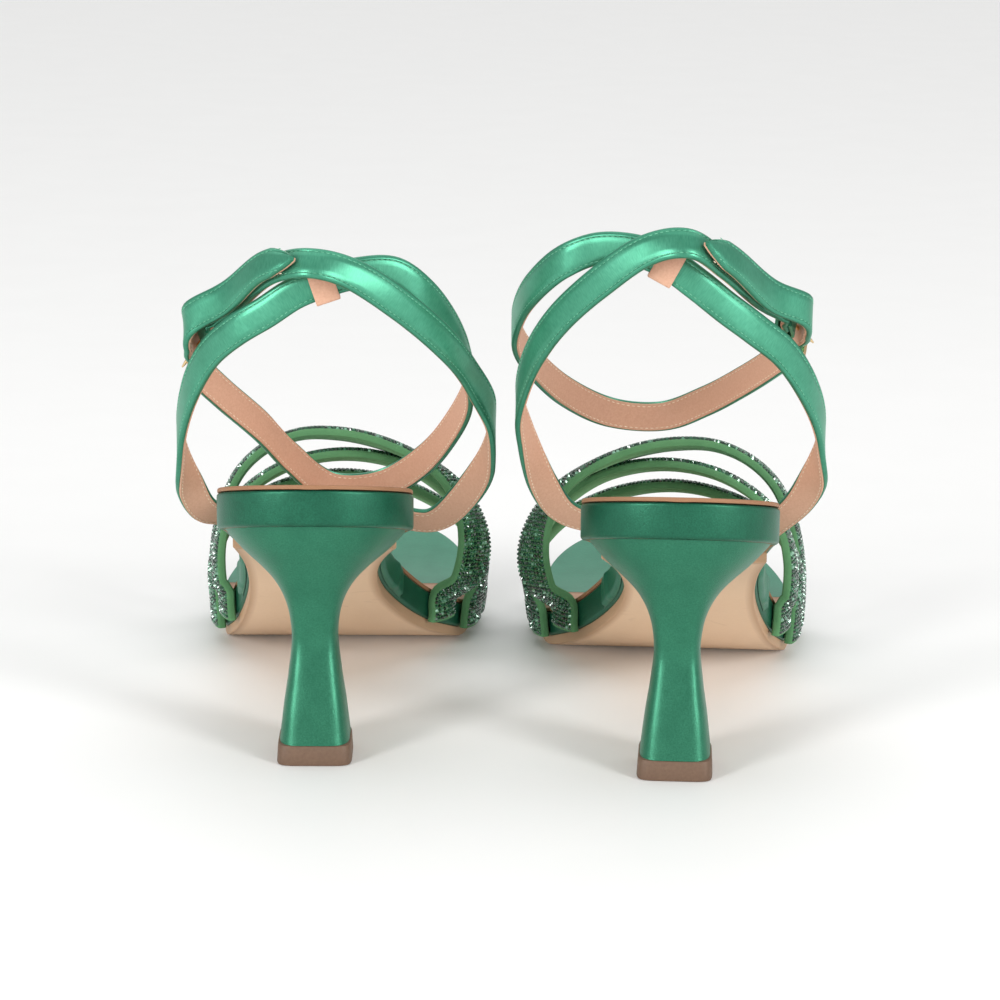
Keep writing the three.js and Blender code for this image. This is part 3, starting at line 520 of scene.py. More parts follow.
def round_steps(count, offset=0.0):
    """The cosine and sine of each step round a circle."""
    for j in range(count):
        angle = 2 * math.pi * (j + offset) / count
        yield math.cos(angle), math.sin(angle)


def signed_power(value, power):
    return math.copysign(abs(value) ** power, value)


def heel_ring(share):
    back, front, width, square = (through([(ring[0], ring[column]) for ring in HEEL_RINGS], share)
                                  for column in range(1, 5))
    seat = underside(back) - HEEL_GAP
    height = mix(TOP_PIECE_HEIGHT + 0.1, seat, share)
    lean = ease(0.35, 1, share)
    middle = mix((back + front) / 2, SEAT_Y - 1, ease(0.6, 1, share))
    ring = []
    for c, s in round_steps(HEEL_SIDES, 0.5):
        power = 2 / (square if s < 0 else FRONT_SQUARE)
        reach = middle - back if s < 0 else front - middle
        taper = 1 - 0.1 * (1 - lean) * abs(s) if s < 0 else 1
        x = signed_power(c, power) * width / 2 * taper
        y = middle + signed_power(s, power) * reach
        ring.append((x, y, mix(height, underside(y) - HEEL_GAP - (seat - height), lean)))
    return ring


heel_satin = satin("heel_satin", dye(28, 96, 72), dye(58, 132, 102))
HEEL_STEPS = 56
for shoe in SHOES:
    rings = [heel_ring(k / HEEL_STEPS) for k in range(HEEL_STEPS + 1)]
    points, faces = skin(rings)
    shoe.piece("heel", points, faces, heel_satin, "satin", replaces=["heel_cover"], crease=50)


# ---- top piece ----
# The brown rubber block that the heel walks on. It is a little larger than the heel's foot,
# pinned by a dowel up into the block and sanded square round the edge.
top_rubber = Finish("top_piece_rubber", Roughness=0.6)
dust = top_rubber.speckle(0.8, 3.0)
top_rubber.paint(dust, (94, 71, 55), (116, 90, 71), Normal=top_rubber.bump(dust, 0.35, 0.15))
SQUARENESS = 0.3


def top_piece_ring(z, grow):
    ring = []
    for c, s in round_steps(HEEL_SIDES, 0.5):
        x = signed_power(c, SQUARENESS) * (TOP_PIECE_WIDTH / 2 + grow)
        y = TOP_PIECE_CENTRE + signed_power(s, SQUARENESS) * (TOP_PIECE_DEPTH / 2 + grow)
        ring.append((x, y, z))
    return ring


for shoe in SHOES:
    rings = [top_piece_ring(z, grow) for z, grow in (
        (0, -0.5), (0.15, -0.15), (0.5, 0), (TOP_PIECE_HEIGHT - 0.6, -0.3),
        (TOP_PIECE_HEIGHT - 0.1, -0.5), (TOP_PIECE_HEIGHT + 0.1, -1.1))]
    points, faces = skin(rings)
    shoe.piece("top_piece", points, faces, top_rubber, "top_piece", replaces=["top_piece"])


# ---- crystal straps ----
# Three padded straps of sage suede cross over the toes, their ends lasted in beside the
# rand. Their faces are set with ten rows of small dark green crystals.
STRAP_GAP = 0.3
VAMP_WIDTH = 14.5
VAMP_LINING = 1.4
FOOT_UP, FOOT_HEIGHT = 0.9, 9
FOOT_OUT = VAMP_LINING + 1.5 * STRAP_GAP
OVER_TOES = Vector((0.1, 1, -0.3)).normalized()
TURNED_BACK = Vector((-0.72, 0.69, 0))  # the first strap turns back round the ball of the foot
VAMP_ARCS = [
    (126, 166, TURNED_BACK, [
        (-44.5, 124, 26), (-47, 124.5, 36), (-45, 127.5, 46.5), (-38.5, 131, 56.5), (-27.5, 135, 63.2),
        (-14, 138.5, 67.8), (-1, 143, 69), (11, 148.5, 67), (22, 153.5, 61), (30.5, 158, 51.5),
        (36, 161.5, 38), (38.5, 164, 24)]),
    (147, 122, OVER_TOES, [
        (-49.5, 147.5, 23), (-47.5, 148, 34), (-40.5, 148, 46), (-29, 147, 55.5), (-16, 144, 60.8),
        (-2, 140.5, 62.5), (12, 135.5, 60.5), (24, 130, 54.5), (31.5, 126.5, 46), (34.5, 124, 36),
        (34.5, 122.5, 25)]),
    (166, 142, OVER_TOES, [
        (-48.8, 166, 22), (-46, 165.7, 30.5), (-37.2, 163.5, 39.8), (-23, 159, 48), (-8, 153.5, 52.5),
        (6, 150, 52.5), (20, 147, 48.5), (30, 144.5, 41.5), (35.5, 143, 33), (37.5, 142, 24)]),
]


ROUTE_STEP = 1.2
ROUTE_SAMPLES = 800


class Route:
    """A strap's centre line through given points, with the direction of its width."""

    def __init__(self, points, across_hint):
        self.points = [Vector(p) for p in points]
        self.hint = across_hint
        dense = [self.at(k / ROUTE_SAMPLES) for k in range(ROUTE_SAMPLES + 1)]
        run = [0.0]
        for before, after in zip(dense, dense[1:]):
            run.append(run[-1] + (after - before).length)
        self.length = run[-1]
        count = max(round(self.length / ROUTE_STEP), 2)
        self.frames = []
        k = 0
        for i in range(count + 1):
            goal = self.length * i / count
            while k < ROUTE_SAMPLES - 1 and run[k + 1] < goal:
                k += 1
            share = (goal - run[k]) / max(run[k + 1] - run[k], 1e-9)
            t = clamp01((k + share) / ROUTE_SAMPLES)
            self.frames.append((goal, *self.frame(t)))

    def at(self, t):
        """Uniform Catmull-Rom curve, its ends carried on straight."""
        pts = self.points
        last = len(pts) - 1
        place = t * last
        k = min(int(place), last - 1)
        w = place - k
        p1, p2 = pts[k], pts[k + 1]
        p0 = pts[k - 1] if k > 0 else p1 * 2 - p2
        p3 = pts[k + 2] if k + 2 <= last else p2 * 2 - p1
        v0, v1 = (p2 - p0) / 2, (p3 - p1) / 2
        return ((p1 * 2 - p2 * 2 + v0 + v1) * w ** 3 + (p2 * 3 - p1 * 3 - v0 * 2 - v1) * w ** 2
                + v0 * w + p1)

    def frame(self, t):
        low, high = max(t - 1e-3, 0.0), min(t + 1e-3, 1.0)
        along = (self.at(high) - self.at(low)).normalized()
        hint = self.hint(t)
        across = (hint - along * hint.dot(along)).normalized()
        return self.at(t), across, along.cross(across).normalized()

    def spot(self, frame_at, a, n, outside):
        _, middle, across, face = frame_at
        return middle + across * a + face * (n * outside)

    def ribbon(self, section, outside, scale=None):
        """Sweeps (a, n) points; a is across the strap and n outwards. scale(s) narrows it."""
        rings = []
        marks = {"along": [], "across": []}
        for frame_at in self.frames:
            narrow = scale(frame_at[0]) if scale else 1.0
            rings.append([self.spot(frame_at, a * narrow, n, outside) for a, n in section])
            marks["along"] += [frame_at[0]] * len(section)
            marks["across"] += [a for a, n in section]
        points, faces = skin(rings)
        return points, faces, marks


def edge_run(side, y):
    return Vector((edge_x(side, y + 6) - edge_x(side, y - 6), 12, underside(y + 6) - underside(y - 6)))


def vamp_foot(side, y, up, out):
    return Vector((edge_x(side, y) + side * (FOOT_OUT + out), y, underside(y) + up))


def vamp_route(inner, outer, turned, arch):
    points = [vamp_foot(-1, inner, FOOT_UP, 0), vamp_foot(-1, inner, FOOT_HEIGHT, 1),
              *arch, vamp_foot(1, outer, FOOT_HEIGHT, 0.5), vamp_foot(1, outer, FOOT_UP, 0)]
    ends = [edge_run(-1, inner).normalized(), edge_run(1, outer).normalized()]

    def hint(t):
        if t > 0.5:
            return OVER_TOES.lerp(ends[1], (2 * t - 1) ** 2)
        return ends[0].lerp(turned, ease(0.07, 0.17, t)).lerp(OVER_TOES, ease(0.1, 0.5, t))
    return Route(points, hint)


PAD_EDGE, PAD_RISE, PAD_FULLNESS = 0.85, 1.0, 2.4


def crown(a):
    """Height of a crystal strap's padded face."""
    return PAD_EDGE + PAD_RISE * (1 - abs(a / (VAMP_WIDTH / 2)) ** PAD_FULLNESS)


def padded_section():
    half = VAMP_WIDTH / 2
    low = -STRAP_GAP / 2 - VAMP_LINING
    face = [(half * share, crown(half * share)) for share in (
        -0.93, -0.8, -0.6, -0.4, -0.2, 0, 0.2, 0.4, 0.6, 0.8, 0.93)]
    return [(-half * 0.9, low), (-half, low + 0.5), (-half - 0.1, -0.2), (-half, 0.5), *face,
            (half, 0.5), (half + 0.1, -0.2), (half, low + 0.5), (half * 0.9, low), (0, low)]


def tree_with(name, inputs):
    """A geometry tree with a Geometry socket at each end and named number inputs."""
    tree = bpy.data.node_groups.new(name, "GeometryNodeTree")
    tree.interface.new_socket("Geometry", in_out="INPUT", socket_type="NodeSocketGeometry")
    for key, (kind, value) in inputs.items():
        tree.interface.new_socket(key, in_out="INPUT", socket_type=kind).default_value = value
    tree.interface.new_socket("Geometry", in_out="OUTPUT", socket_type="NodeSocketGeometry")
    return Nodes(tree), tree.nodes.new("NodeGroupInput"), tree.nodes.new("NodeGroupOutput")


def set_along_rows(name, shape, finish, pitch, tilt, spin, seed):
    """A tree that sets copies of a shape along rows. Each row carries, in `out`, the way
    that its pieces face."""
    nodes, given, result = tree_with(name, {
        "Pitch": ("NodeSocketFloat", pitch), "Tilt": ("NodeSocketFloat", tilt),
        "Spin": ("NodeSocketFloat", spin), "Seed": ("NodeSocketInt", seed)})
    inputs = {socket.name: Wire(nodes, socket) for socket in given.outputs if socket.name}
    rows = nodes.node("GeometryNodeMeshToCurve", {"Mesh": inputs["Geometry"]})
    rows = nodes.node("GeometryNodeResampleCurve", {"Curve": rows, "Length": inputs["Pitch"]},
                      mode="LENGTH")
    out = nodes.node("GeometryNodeInputNamedAttribute", {"Name": "out"}, data_type="FLOAT_VECTOR")
    facing = nodes.node("FunctionNodeAlignRotationToVector", {"Vector": out}, axis="Z")
    facing = nodes.node("FunctionNodeAlignRotationToVector", {
        "Rotation": facing, "Vector": nodes.node("GeometryNodeInputTangent")}, axis="X", pivot_axis="Z")
    wobble = nodes.node("ShaderNodeCombineXYZ", {
        "X": inputs["Tilt"], "Y": inputs["Tilt"], "Z": inputs["Spin"]})
    still = nodes.node("ShaderNodeVectorMath", {0: wobble, "Scale": -1.0}, operation="SCALE")
    turn = nodes.node("FunctionNodeRandomValue", {0: still, 1: wobble, "Seed": inputs["Seed"]},
                      data_type="FLOAT_VECTOR")
    facing = nodes.node("FunctionNodeRotateRotation", {
        "Rotation": facing, "Rotate By": nodes.node("FunctionNodeEulerToRotation", {0: turn})},
        rotation_space="LOCAL")
    set_pieces = nodes.node("GeometryNodeInstanceOnPoints", {
        "Points": rows, "Instance": shape(nodes), "Rotation": facing})
    shade = nodes.node("FunctionNodeRandomValue", {"Seed": inputs["Seed"]}, out=1, data_type="FLOAT")
    tinted = nodes.node("GeometryNodeStoreNamedAttribute", {
        "Geometry": set_pieces, "Name": "tint", "Value": shade}, data_type="FLOAT", domain="INSTANCE")
    real = nodes.node("GeometryNodeRealizeInstances", {"Geometry": tinted})
    painted = nodes.node("GeometryNodeSetMaterial", {"Geometry": real, "Material": finish.material})
    nodes.feed(result.inputs[0], painted)
    return nodes.tree


def grow_on_rows(shoe, name, rows, tree, values, finish, slot, replaces=()):
    """rows are lists of (point, outward direction) in a shoe's millimetres. Runs the tree
    on them and keeps the result as a plain mesh."""
    points, edges, directions = [], [], []
    turn = shoe.place.to_3x3()
    for row in rows:
        first = len(points)
        edges += [(first + k, first + k + 1) for k in range(len(row) - 1)]
        for point, out in row:
            points.append(shoe.put(point))
            directions.extend(turn @ Vector((shoe.hand * out.x, out.y, out.z)))
    guide_mesh = bpy.data.meshes.new(f"{shoe.name}_{name}_rows")
    guide_mesh.from_pydata(points, edges, [])
    guide_mesh.attributes.new("out", "FLOAT_VECTOR", "POINT").data.foreach_set("vector", directions)
    guide = add_object(guide_mesh.name, guide_mesh)
    modifier = guide.modifiers.new("set", "NODES")
    modifier.node_group = tree
    for socket in tree.interface.items_tree:
        if getattr(socket, "in_out", "") == "INPUT" and socket.name in values:
            modifier[socket.identifier] = values[socket.name]
    bpy.context.view_layer.update()
    ready = guide.evaluated_get(bpy.context.evaluated_depsgraph_get())
    mesh = bpy.data.meshes.new_from_object(ready)
    mesh.name = f"{shoe.name}_{name}"
    bpy.data.objects.remove(guide)
    return shoe.settle(add_object(mesh.name, mesh), finish, slot, replaces=replaces)


suede = Finish("sage_suede", Roughness=0.92, Specular_IOR_Level=0.2, Sheen_Weight=0.6,
               Sheen_Roughness=0.5, Sheen_Tint=dye(150, 200, 150))
nap = suede.speckle(0.5, 4.0)
brushed = suede.speckle(5.0, 3.0)
suede_green = suede.mix(brushed, dye(78, 126, 84), dye(98, 148, 102))
suede.set(Base_Color=suede.mix(nap * 0.45, suede_green, dye(62, 104, 70)),
          Normal=suede.bump(nap, 0.5, 0.2))

crystal = Finish("green_crystal", Roughness=0.08, Specular_IOR_Level=0.9, Metallic=0.35, IOR=1.7,
                 Coat_Weight=0.6, Coat_Roughness=0.03)
# Each stone gets a random green from dark to mid green; the pale top of the ramp paints a glint on some
# stones.
stone_tone_and_glint = crystal.node("ShaderNodeValToRGB", {0: crystal.attribute("tint")}, stops=[
    (0.0, dye(10, 44, 30)), (0.55, dye(20, 74, 50)), (0.85, dye(44, 116, 80)), (1.0, dye(150, 205, 175))])
crystal.set(Base_Color=stone_tone_and_glint)

CRYSTAL_ROWS = 10
CRYSTAL_PITCH = 1.36
CRYSTAL_SIZE = 1.28
CRYSTAL_DEPTH = 0.62
TABLE_SHARE, GIRDLE_SHARE = 0.27, 0.52


def cut_crystal(nodes):
    """A seven-sided stone, narrower at its flat table."""
    return nodes.node("GeometryNodeMeshCone", {
        "Vertices": 7, "Radius Top": CRYSTAL_SIZE * TABLE_SHARE / 1000,
        "Radius Bottom": CRYSTAL_SIZE * GIRDLE_SHARE / 1000, "Depth": CRYSTAL_DEPTH / 1000})


crystal_tree = set_along_rows("crystal_rows", cut_crystal, crystal, CRYSTAL_PITCH / 1000, 0.12, 3.14, 7)
for shoe in SHOES:
    for number, arc in enumerate(VAMP_ARCS, 1):
        route = vamp_route(*arc)
        points, faces, marks = route.ribbon(padded_section(), 1)
        shoe.piece(f"crystal_strap_{number}_suede", points, faces, suede, "suede",
                   replaces=[f"crystal_strap_{number}_lining"], marks=marks)
        rows = []
        for r in range(CRYSTAL_ROWS):
            a = (r - (CRYSTAL_ROWS - 1) / 2) * CRYSTAL_PITCH
            slope = (crown(a + 0.2) - crown(a - 0.2)) / 0.4
            row = []
            for frame_at in route.frames[1:-1]:
                out = (frame_at[3] - frame_at[2] * slope).normalized()
                row.append((route.spot(frame_at, a, crown(a), 1), out))
            rows.append(row)
        grow_on_rows(shoe, f"crystal_strap_{number}_stones", rows, crystal_tree,
                     {"Seed": number * 10 + shoe.hand}, crystal, "crystal",
                     replaces=[f"crystal_strap_{number}"])


# ---- ankle straps ----
# A long strap rises from the waist on the outside, passes behind the ankle and round its
# inside and front to the buckle; a short one rises on the inside and crosses over it at the
# back. Both are satin turned over a tan leather lining and stitched along each edge.
STRAP_WIDTH = 9
STRAP_SATIN, STRAP_LINING = 1.1, 0.8
WIRE_RADIUS = 0.75
BUCKLE_LENGTH = 12
FOLD = 0.9
LEG_TOP_Y, LEG_UP = 74.5, 0.4
RAND_COVER = 1
BAR_CLEAR = STRAP_SATIN + 1.5 * STRAP_GAP
TAB_OUT = BAR_CLEAR + FOLD
OVER_BAR = TAB_OUT + STRAP_GAP + STRAP_LINING + STRAP_GAP / 2
TIP_STACK = STRAP_SATIN + STRAP_LINING + 3 * STRAP_GAP + FOLD
TIP_LEANS, TIP_LIFTS, TIP_RAISE = (0.17, 0.64, 0.9), (1.2, 0.7, 1.6), -0.5
FAR_BAR_OUT = 3.3

# Points are (x, y, height above the footbed), in the order that each strap runs.
ROUTES = {
    "right": {
        "rise": [(34.8, 65.1, 5.5), (39.5, 56, 13.5), (39.8, 45.9, 23.6), (36, 36, 33.2),
                 (28.8, 27.7, 43.3), (19.6, 21, 49.9), (11.5, 17.2, 55.4), (3.4, 14.5, 61.5),
                 (-4.6, 13.9, 67)],
        "loop": [(-13.6, 14.7, 70.6), (-24.5, 17.2, 71.2), (-34.5, 19.9, 67.3),
                 (-43.2, 30.2, 60.8), (-47.8, 43.3, 54.9), (-48.6, 54.3, 50.6),
                 (-44.7, 68.2, 47.7), (-35.7, 84, 46.3), (-22.4, 95.6, 47), (-6.4, 95.7, 46.2),
                 (6.4, 87.9, 46.4), (17, 75.6, 45.7)],
        "inner": [(-34.1, 70.9, 2.5), (-40.8, 63.1, 8.6), (-45.6, 51.3, 20.5),
                 (-46.9, 42.3, 29.4), (-43.1, 32.2, 40.8), (-35.4, 22.5, 51.3),
                 (-23.7, 12.8, 61.2), (-10.8, 6.9, 69.6), (1.1, 5, 71.5)],
        "to_buckle": [(10.4, 13.7, 66.9), (20.2, 27.5, 60.8)],
        "buckle": (29.6, 41.2, 54.3), "front": (25.7, 63.3, 47.2)},
    "left": {
        "rise": [(34.8, 64.6, -1.3), (39.2, 55.8, 6.7), (39.9, 45.7, 16.9), (36.7, 35.4, 28.3),
                 (30.5, 26.8, 38.9), (22, 19.2, 45.6), (13.2, 16.3, 50.7), (5.1, 14.9, 55.9),
                 (-2.9, 14.6, 59.1)],
        "loop": [(-11.9, 15.7, 61.8), (-22.7, 18.7, 62.5), (-31.4, 22.7, 56.7),
                 (-37.9, 30.8, 49.5), (-42.8, 41.2, 40), (-44.3, 52.4, 32.4),
                 (-39.9, 64.1, 25.1), (-31, 76.5, 18.6), (-17.9, 84, 14.7), (-2, 82.4, 13.3),
                 (9.3, 72, 17.7), (17.5, 60.4, 23.5)],
        "inner": [(-33.7, 73.7, -1.5), (-42.7, 67.3, 3.3), (-49.9, 57.8, 12.7),
                 (-50.7, 46.8, 23.4), (-45.4, 37.4, 33.4), (-37.8, 25.1, 42.3),
                 (-25, 14.3, 52.5), (-11.4, 8.3, 60.7), (0.5, 6.2, 63.5)],
        "to_buckle": [(11, 14.8, 62.5), (20.9, 26.3, 56.6)],
        "buckle": (31.2, 36.1, 45.9), "front": (27.8, 50.6, 30.7)},
}


def on_foot(point):
    x, y, up = point
    y0 = max(y, 0)
    return Vector((x, y, raised(y0, thickness(y0)) + up))


class BucklePlace:
    """The buckle's bar, and the directions along, out of and across the strap there."""

    def __init__(self, route):
        self.at = on_foot(route["buckle"])
        before, front = on_foot(route["to_buckle"][1]), on_foot(route["front"])
        self.forward = ((front - self.at).normalized() + (self.at - before).normalized()).normalized()
        self.out = self.forward.cross(Vector((0, 0, 1))).normalized()
        self.across = self.out.cross(self.forward).normalized()

    def put(self, u, n, b=0.0):
        return self.at + self.forward * u + self.out * n + self.across * b


def leg_start(side):
    out = 2 * STRAP_GAP + RAND_COVER + STRAP_LINING / 2
    y = LEG_TOP_Y
    return Vector((edge_x(side, y) + side * out, y, raised(y, thickness(y)) + LEG_UP))


def wrap_points(route):
    put = BucklePlace(route).put
    rise = [leg_start(1), *(on_foot(p) for p in route["rise"] + route["loop"] + [route["front"]])]
    under = [put(BUCKLE_LENGTH + 3, 0), put(BUCKLE_LENGTH - 4, 1.3)]
    over = [put(2.2, OVER_BAR + 1), put(-8, OVER_BAR + 2.2)]
    chain = [put(-8, 0), *(on_foot(p) for p in route["to_buckle"][::-1] + route["inner"][:-3:-1])]
    tip = []
    for k, leaning in enumerate(TIP_LEANS):
        away = (chain[k] - chain[k + 2]).cross(Vector((0, leaning, 1))).normalized()
        tip.append(chain[k + 1] + away * (TIP_STACK + TIP_LIFTS[k]) + Vector((0, 0, TIP_RAISE)))
    tip[2] = tip[2].lerp(tip[1], 0.25)
    return rise + under + over + tip


def buckle_points(route):
    put = BucklePlace(route).put
    return [leg_start(-1), *(on_foot(p) for p in route["inner"] + route["to_buckle"]),
            put(-10, 0), put(-6, 0), put(-(BAR_CLEAR + STRAP_GAP), 0)]


def foot_lean(side, share):
    """Leans a strap's width inwards and down where it leaves the sole."""
    return Vector((-0.5 * side, -0.45, -0.25)) * (1 - share)


def wrap_lean(t):
    return Vector((0, 0.9 * ease(0.905, 1, t), 1)) + foot_lean(1, ease(0.02, 0.1, t))


def buckle_lean(t):
    crossing = ease(0.5, 0.68, t) * (1 - ease(0.72, 0.9, t))
    return Vector((0, 0.9 * crossing, 1)) + foot_lean(-1, ease(0.05, 0.25, t))


STITCH_INSET = 1.15  # from the edge of the strap


def turned_section():
    """Satin folded round the strap's edges, slightly puffed between the stitch lines."""
    half = STRAP_WIDTH / 2
    high = STRAP_GAP / 2 + STRAP_SATIN
    stitch = half - STITCH_INSET
    face = [(-half + 0.3, high - 0.12), (-stitch - 0.3, high + 0.02), (-stitch, high - 0.16),
            (-stitch + 0.35, high + 0.04), (-stitch * 0.5, high + 0.12), (0, high + 0.15)]
    mirrored = [(-a, n) for a, n in face[-2::-1]]
    return [(-half + 0.5, -0.45), (-half + 0.05, -0.3), (-half - 0.1, 0.2), (-half, high - 0.5), *face,
            *mirrored, (half, high - 0.5), (half + 0.1, 0.2), (half - 0.05, -0.3), (half - 0.5, -0.45)]


def lining_section():
    half = STRAP_WIDTH / 2 - 0.35
    low = -STRAP_GAP / 2 - STRAP_LINING
    return [(-half + 0.1, low + 0.05), (-half, low + 0.3), (-half, -0.3), (half, -0.3),
            (half, low + 0.3), (half - 0.1, low + 0.05), (0, low)]


strap_satin = Finish("strap_satin", Metallic=0.6, Anisotropic=0.4, Sheen_Weight=0.15, Sheen_Roughness=0.4,
                     Sheen_Tint=dye(120, 200, 160))
reach = strap_satin.attribute("along")
side_ways = strap_satin.attribute("across")
thread = strap_satin.node("ShaderNodeTexNoise", {
    "Vector": strap_satin.node("ShaderNodeCombineXYZ", {"X": reach * 3.0, "Y": side_ways * 0.5}),
    "Scale": 1.0, "Detail": 3.0})
fold = strap_satin.speckle(9.0, 3.0)
# Painted shade: the satin is darkened where it rolls round the strap's edges.
edge_shade = strap_satin.band(strap_satin.node("ShaderNodeMath", {0: side_ways}, operation="ABSOLUTE"), 3.6, 4.6)
strap_green = strap_satin.mix(thread, dye(44, 126, 100), dye(90, 170, 138))
strap_green = strap_satin.mix(strap_satin.band(fold, 0.4, 0.8) * 0.3, strap_green, dye(22, 104, 74))
strap_satin.set(Base_Color=strap_satin.mix(edge_shade * 0.35, strap_green, dye(24, 100, 74)),
                Roughness=0.27 + thread * 0.16, Normal=strap_satin.bump(thread + fold * 0.5, 0.3, 0.1))

strap_tan = Finish("strap_lining", Roughness=0.55, Specular_IOR_Level=0.35)
creases = strap_tan.speckle(0.6, 3.0)
strap_tan.paint(creases, (214, 172, 146), (190, 144, 118), Normal=strap_tan.bump(creases, 0.3, 0.1))

thread_finish = Finish("stitch_thread", Roughness=0.5, Sheen_Weight=0.3)
thread_finish.paint(thread_finish.attribute("tint"), (78, 160, 126), (104, 186, 150))
lining_thread = Finish("lining_thread", Roughness=0.6)
lining_thread.paint(lining_thread.attribute("tint"), (220, 200, 172), (236, 220, 196))

STITCH_PITCH = 1.6
STITCH_LINE = STRAP_WIDTH / 2 - STITCH_INSET
STITCH_SINK = 0.06
STITCH_TILT, STITCH_SPIN = 0.03, 0.05
TIP_POINT = 8.0  # the strap's tip narrows over this length


def stitch_shape(nodes):
    """One stitch: a short rounded length of thread."""
    bead = nodes.node("GeometryNodeMeshUVSphere", {"Segments": 6, "Rings": 4, "Radius": 0.001})
    return nodes.node("GeometryNodeTransform", {"Geometry": bead, "Scale": (0.56, 0.15, 0.12)})


stitch_tree = set_along_rows("satin_stitches", stitch_shape, thread_finish,
                             STITCH_PITCH / 1000, STITCH_TILT, STITCH_SPIN, 3)
lining_stitch_tree = set_along_rows("lining_stitches", stitch_shape, lining_thread,
                                    STITCH_PITCH / 1000, STITCH_TILT, STITCH_SPIN, 4)


def strap_pieces(shoe, name, route, outside, tip):
    """Satin, lining and both sets of stitches of one ankle strap."""
    def narrow(run):
        if not tip:
            return 1.0
        return min(1.0, max((route.length - run) / TIP_POINT, 0.03) ** 0.62)

    points, faces, marks = route.ribbon(turned_section(), outside, narrow)
    shoe.piece(name, points, faces, strap_satin, "strap_satin", replaces=[name], marks=marks)
    points, faces, marks = route.ribbon(lining_section(), outside, narrow)
    shoe.piece(f"{name}_lining", points, faces, strap_tan, "tan_leather", replaces=[f"{name}_lining"],
               marks=marks)
    high = STRAP_GAP / 2 + STRAP_SATIN - STITCH_SINK
    low = -STRAP_GAP / 2 - STRAP_LINING
    clear = 4 if tip else 1
    for suffix, n, tree, finish, slot in (
            ("stitches", high, stitch_tree, thread_finish, "strap_satin"),
            ("lining_stitches", low, lining_stitch_tree, lining_thread, "tan_leather")):
        sign = 1 if n > 0 else -1
        rows = [[(route.spot(f, a, n, outside), f[3] * outside * sign) for f in route.frames[2:-clear]]
                for a in (-STITCH_LINE, STITCH_LINE)]
        grow_on_rows(shoe, f"{name}_{suffix}", rows, tree, {}, finish, slot)


for shoe in SHOES:
    ways = ROUTES[shoe.name]
    strap_pieces(shoe, "wrap_strap", Route(wrap_points(ways), wrap_lean), outside=-1, tip=True)
    strap_pieces(shoe, "buckle_strap", Route(buckle_points(ways), buckle_lean), outside=1, tip=False)


# ---- waist leaves ----
# The lower ends of the ankle straps spread into satin leaves that are drawn down over the
# rand at the waist and lasted under, with a fold or two near their front edges.
LEAF_FROM, LEAF_TO, LEAF_THICK = 62, 103, 1.3
LEAF_SWEEP, LEAF_CUT = 18, 6.5  # the back corner is cut up over this length
PLEAT_BACK, PLEAT_WIDTH, PLEAT_HEIGHT = 7, 1.3, 0.5
LEAF_PUFF = 0.35


def waist_leaf(side):
    rings = []
    steps, levels = 44, 12
    for i in range(steps + 1):
        share = i / steps
        y = mix(LEAF_FROM, LEAF_TO, share)
        top = thickness(y) - 1.3
        low = 0.4 + LEAF_CUT * (1 - ease(LEAF_FROM, LEAF_FROM + LEAF_SWEEP, y))
        ring = []
        for k in range(levels + 1):
            rise = k / levels
            up = mix(low, top, rise)
            puff = LEAF_PUFF * math.sin(math.pi * rise)
            pleat = PLEAT_HEIGHT * math.exp(-((y - LEAF_TO + PLEAT_BACK - 3 * rise) / PLEAT_WIDTH) ** 2)
            out = 0.25 + LEAF_THICK * round_end(abs(2 * share - 1), 9) * round_end(abs(2 * rise - 1), 6)
            ring.append((edge_x(side, y) + side * (out + puff + pleat), y, raised(y, up)))
        for k in range(levels, -1, -1):
            up = mix(low, top, k / levels)
            ring.append((edge_x(side, y) + side * 0.05, y, raised(y, up)))
        rings.append(ring)
    return skin(rings)


leaf_satin = satin("leaf_satin", dye(22, 96, 72), dye(52, 132, 102))
for shoe in SHOES:
    for side, name in ((-1, "waist_leaf_inner"), (1, "waist_leaf_outer")):
        points, faces = waist_leaf(side)
        shoe.piece(name, points, faces, leaf_satin, "strap_satin", replaces=[name], crease=60)


# ---- buckle ----
# A small frame of polished pale gilt wire and its prong, held by a folded satin tab sewn to
# the end of the buckle strap. A tan leather keeper behind the ankle holds both straps.
gilt = Finish("pale_gilt", Metallic=1.0)
rub = gilt.speckle(1.2, 3.0)
gilt.paint(rub, (226, 190, 138), (240, 212, 166), Roughness=0.16 + rub * 0.12)
PRONG_RADIUS = 0.55
PRONG_STEPS, PRONG_SIDES = 10, 10
PRONG_TAPER = {9: 0.8, 10: 0.45}  # share of the radius at the last two steps
EYE_STEPS, EYE_SIDES = 16, 8
EYE_CLEAR, EYE_WIRE = 0.4, 0.3
FRAME_SIDES = 12
KEEPER_STEPS, KEEPER_SQUARENESS = 48, 0.25
KEEPER_POINT = 9  # the keeper sits at this point of the wrap strap's route
KEEPER_PROFILE = ((0, -3.3), (0.25, -3.5), (0.65, -3.5), (0.8, -3.2), (0.8, 3.2), (0.65, 3.5),
                  (0.25, 3.5), (0, 3.3))


def wire_loop(path, radius):
    """Round wire round a closed path, with the plane of its first bend as a guide."""
    plane = (path[1] - path[0]).cross(path[len(path) // 2] - path[0]).normalized()
    rings = []
    for k, point in enumerate(path):
        along = (path[(k + 1) % len(path)] - path[k - 1]).normalized()
        side = along.cross(plane).normalized()
        up = side.cross(along)
        rings.append([point + side * (radius * c) + up * (radius * s)
                      for c, s in round_steps(FRAME_SIDES)])
    return skin(rings, closed=True)


def frame_path(put):
    half = STRAP_WIDTH / 2 + 0.8 + WIRE_RADIUS
    corner, arc = 2, 6
    path = []
    for quarter, (end, side) in enumerate(((1, 1), (0, 1), (0, -1), (1, -1))):
        u = BUCKLE_LENGTH - corner if end else corner
        for k in range(arc + 1):
            angle = (quarter + k / arc) * math.pi / 2
            along = u + corner * math.cos(angle)
            path.append(put(along, FAR_BAR_OUT * along / BUCKLE_LENGTH,
                            side * (half - corner) + corner * math.sin(angle)))
    return path


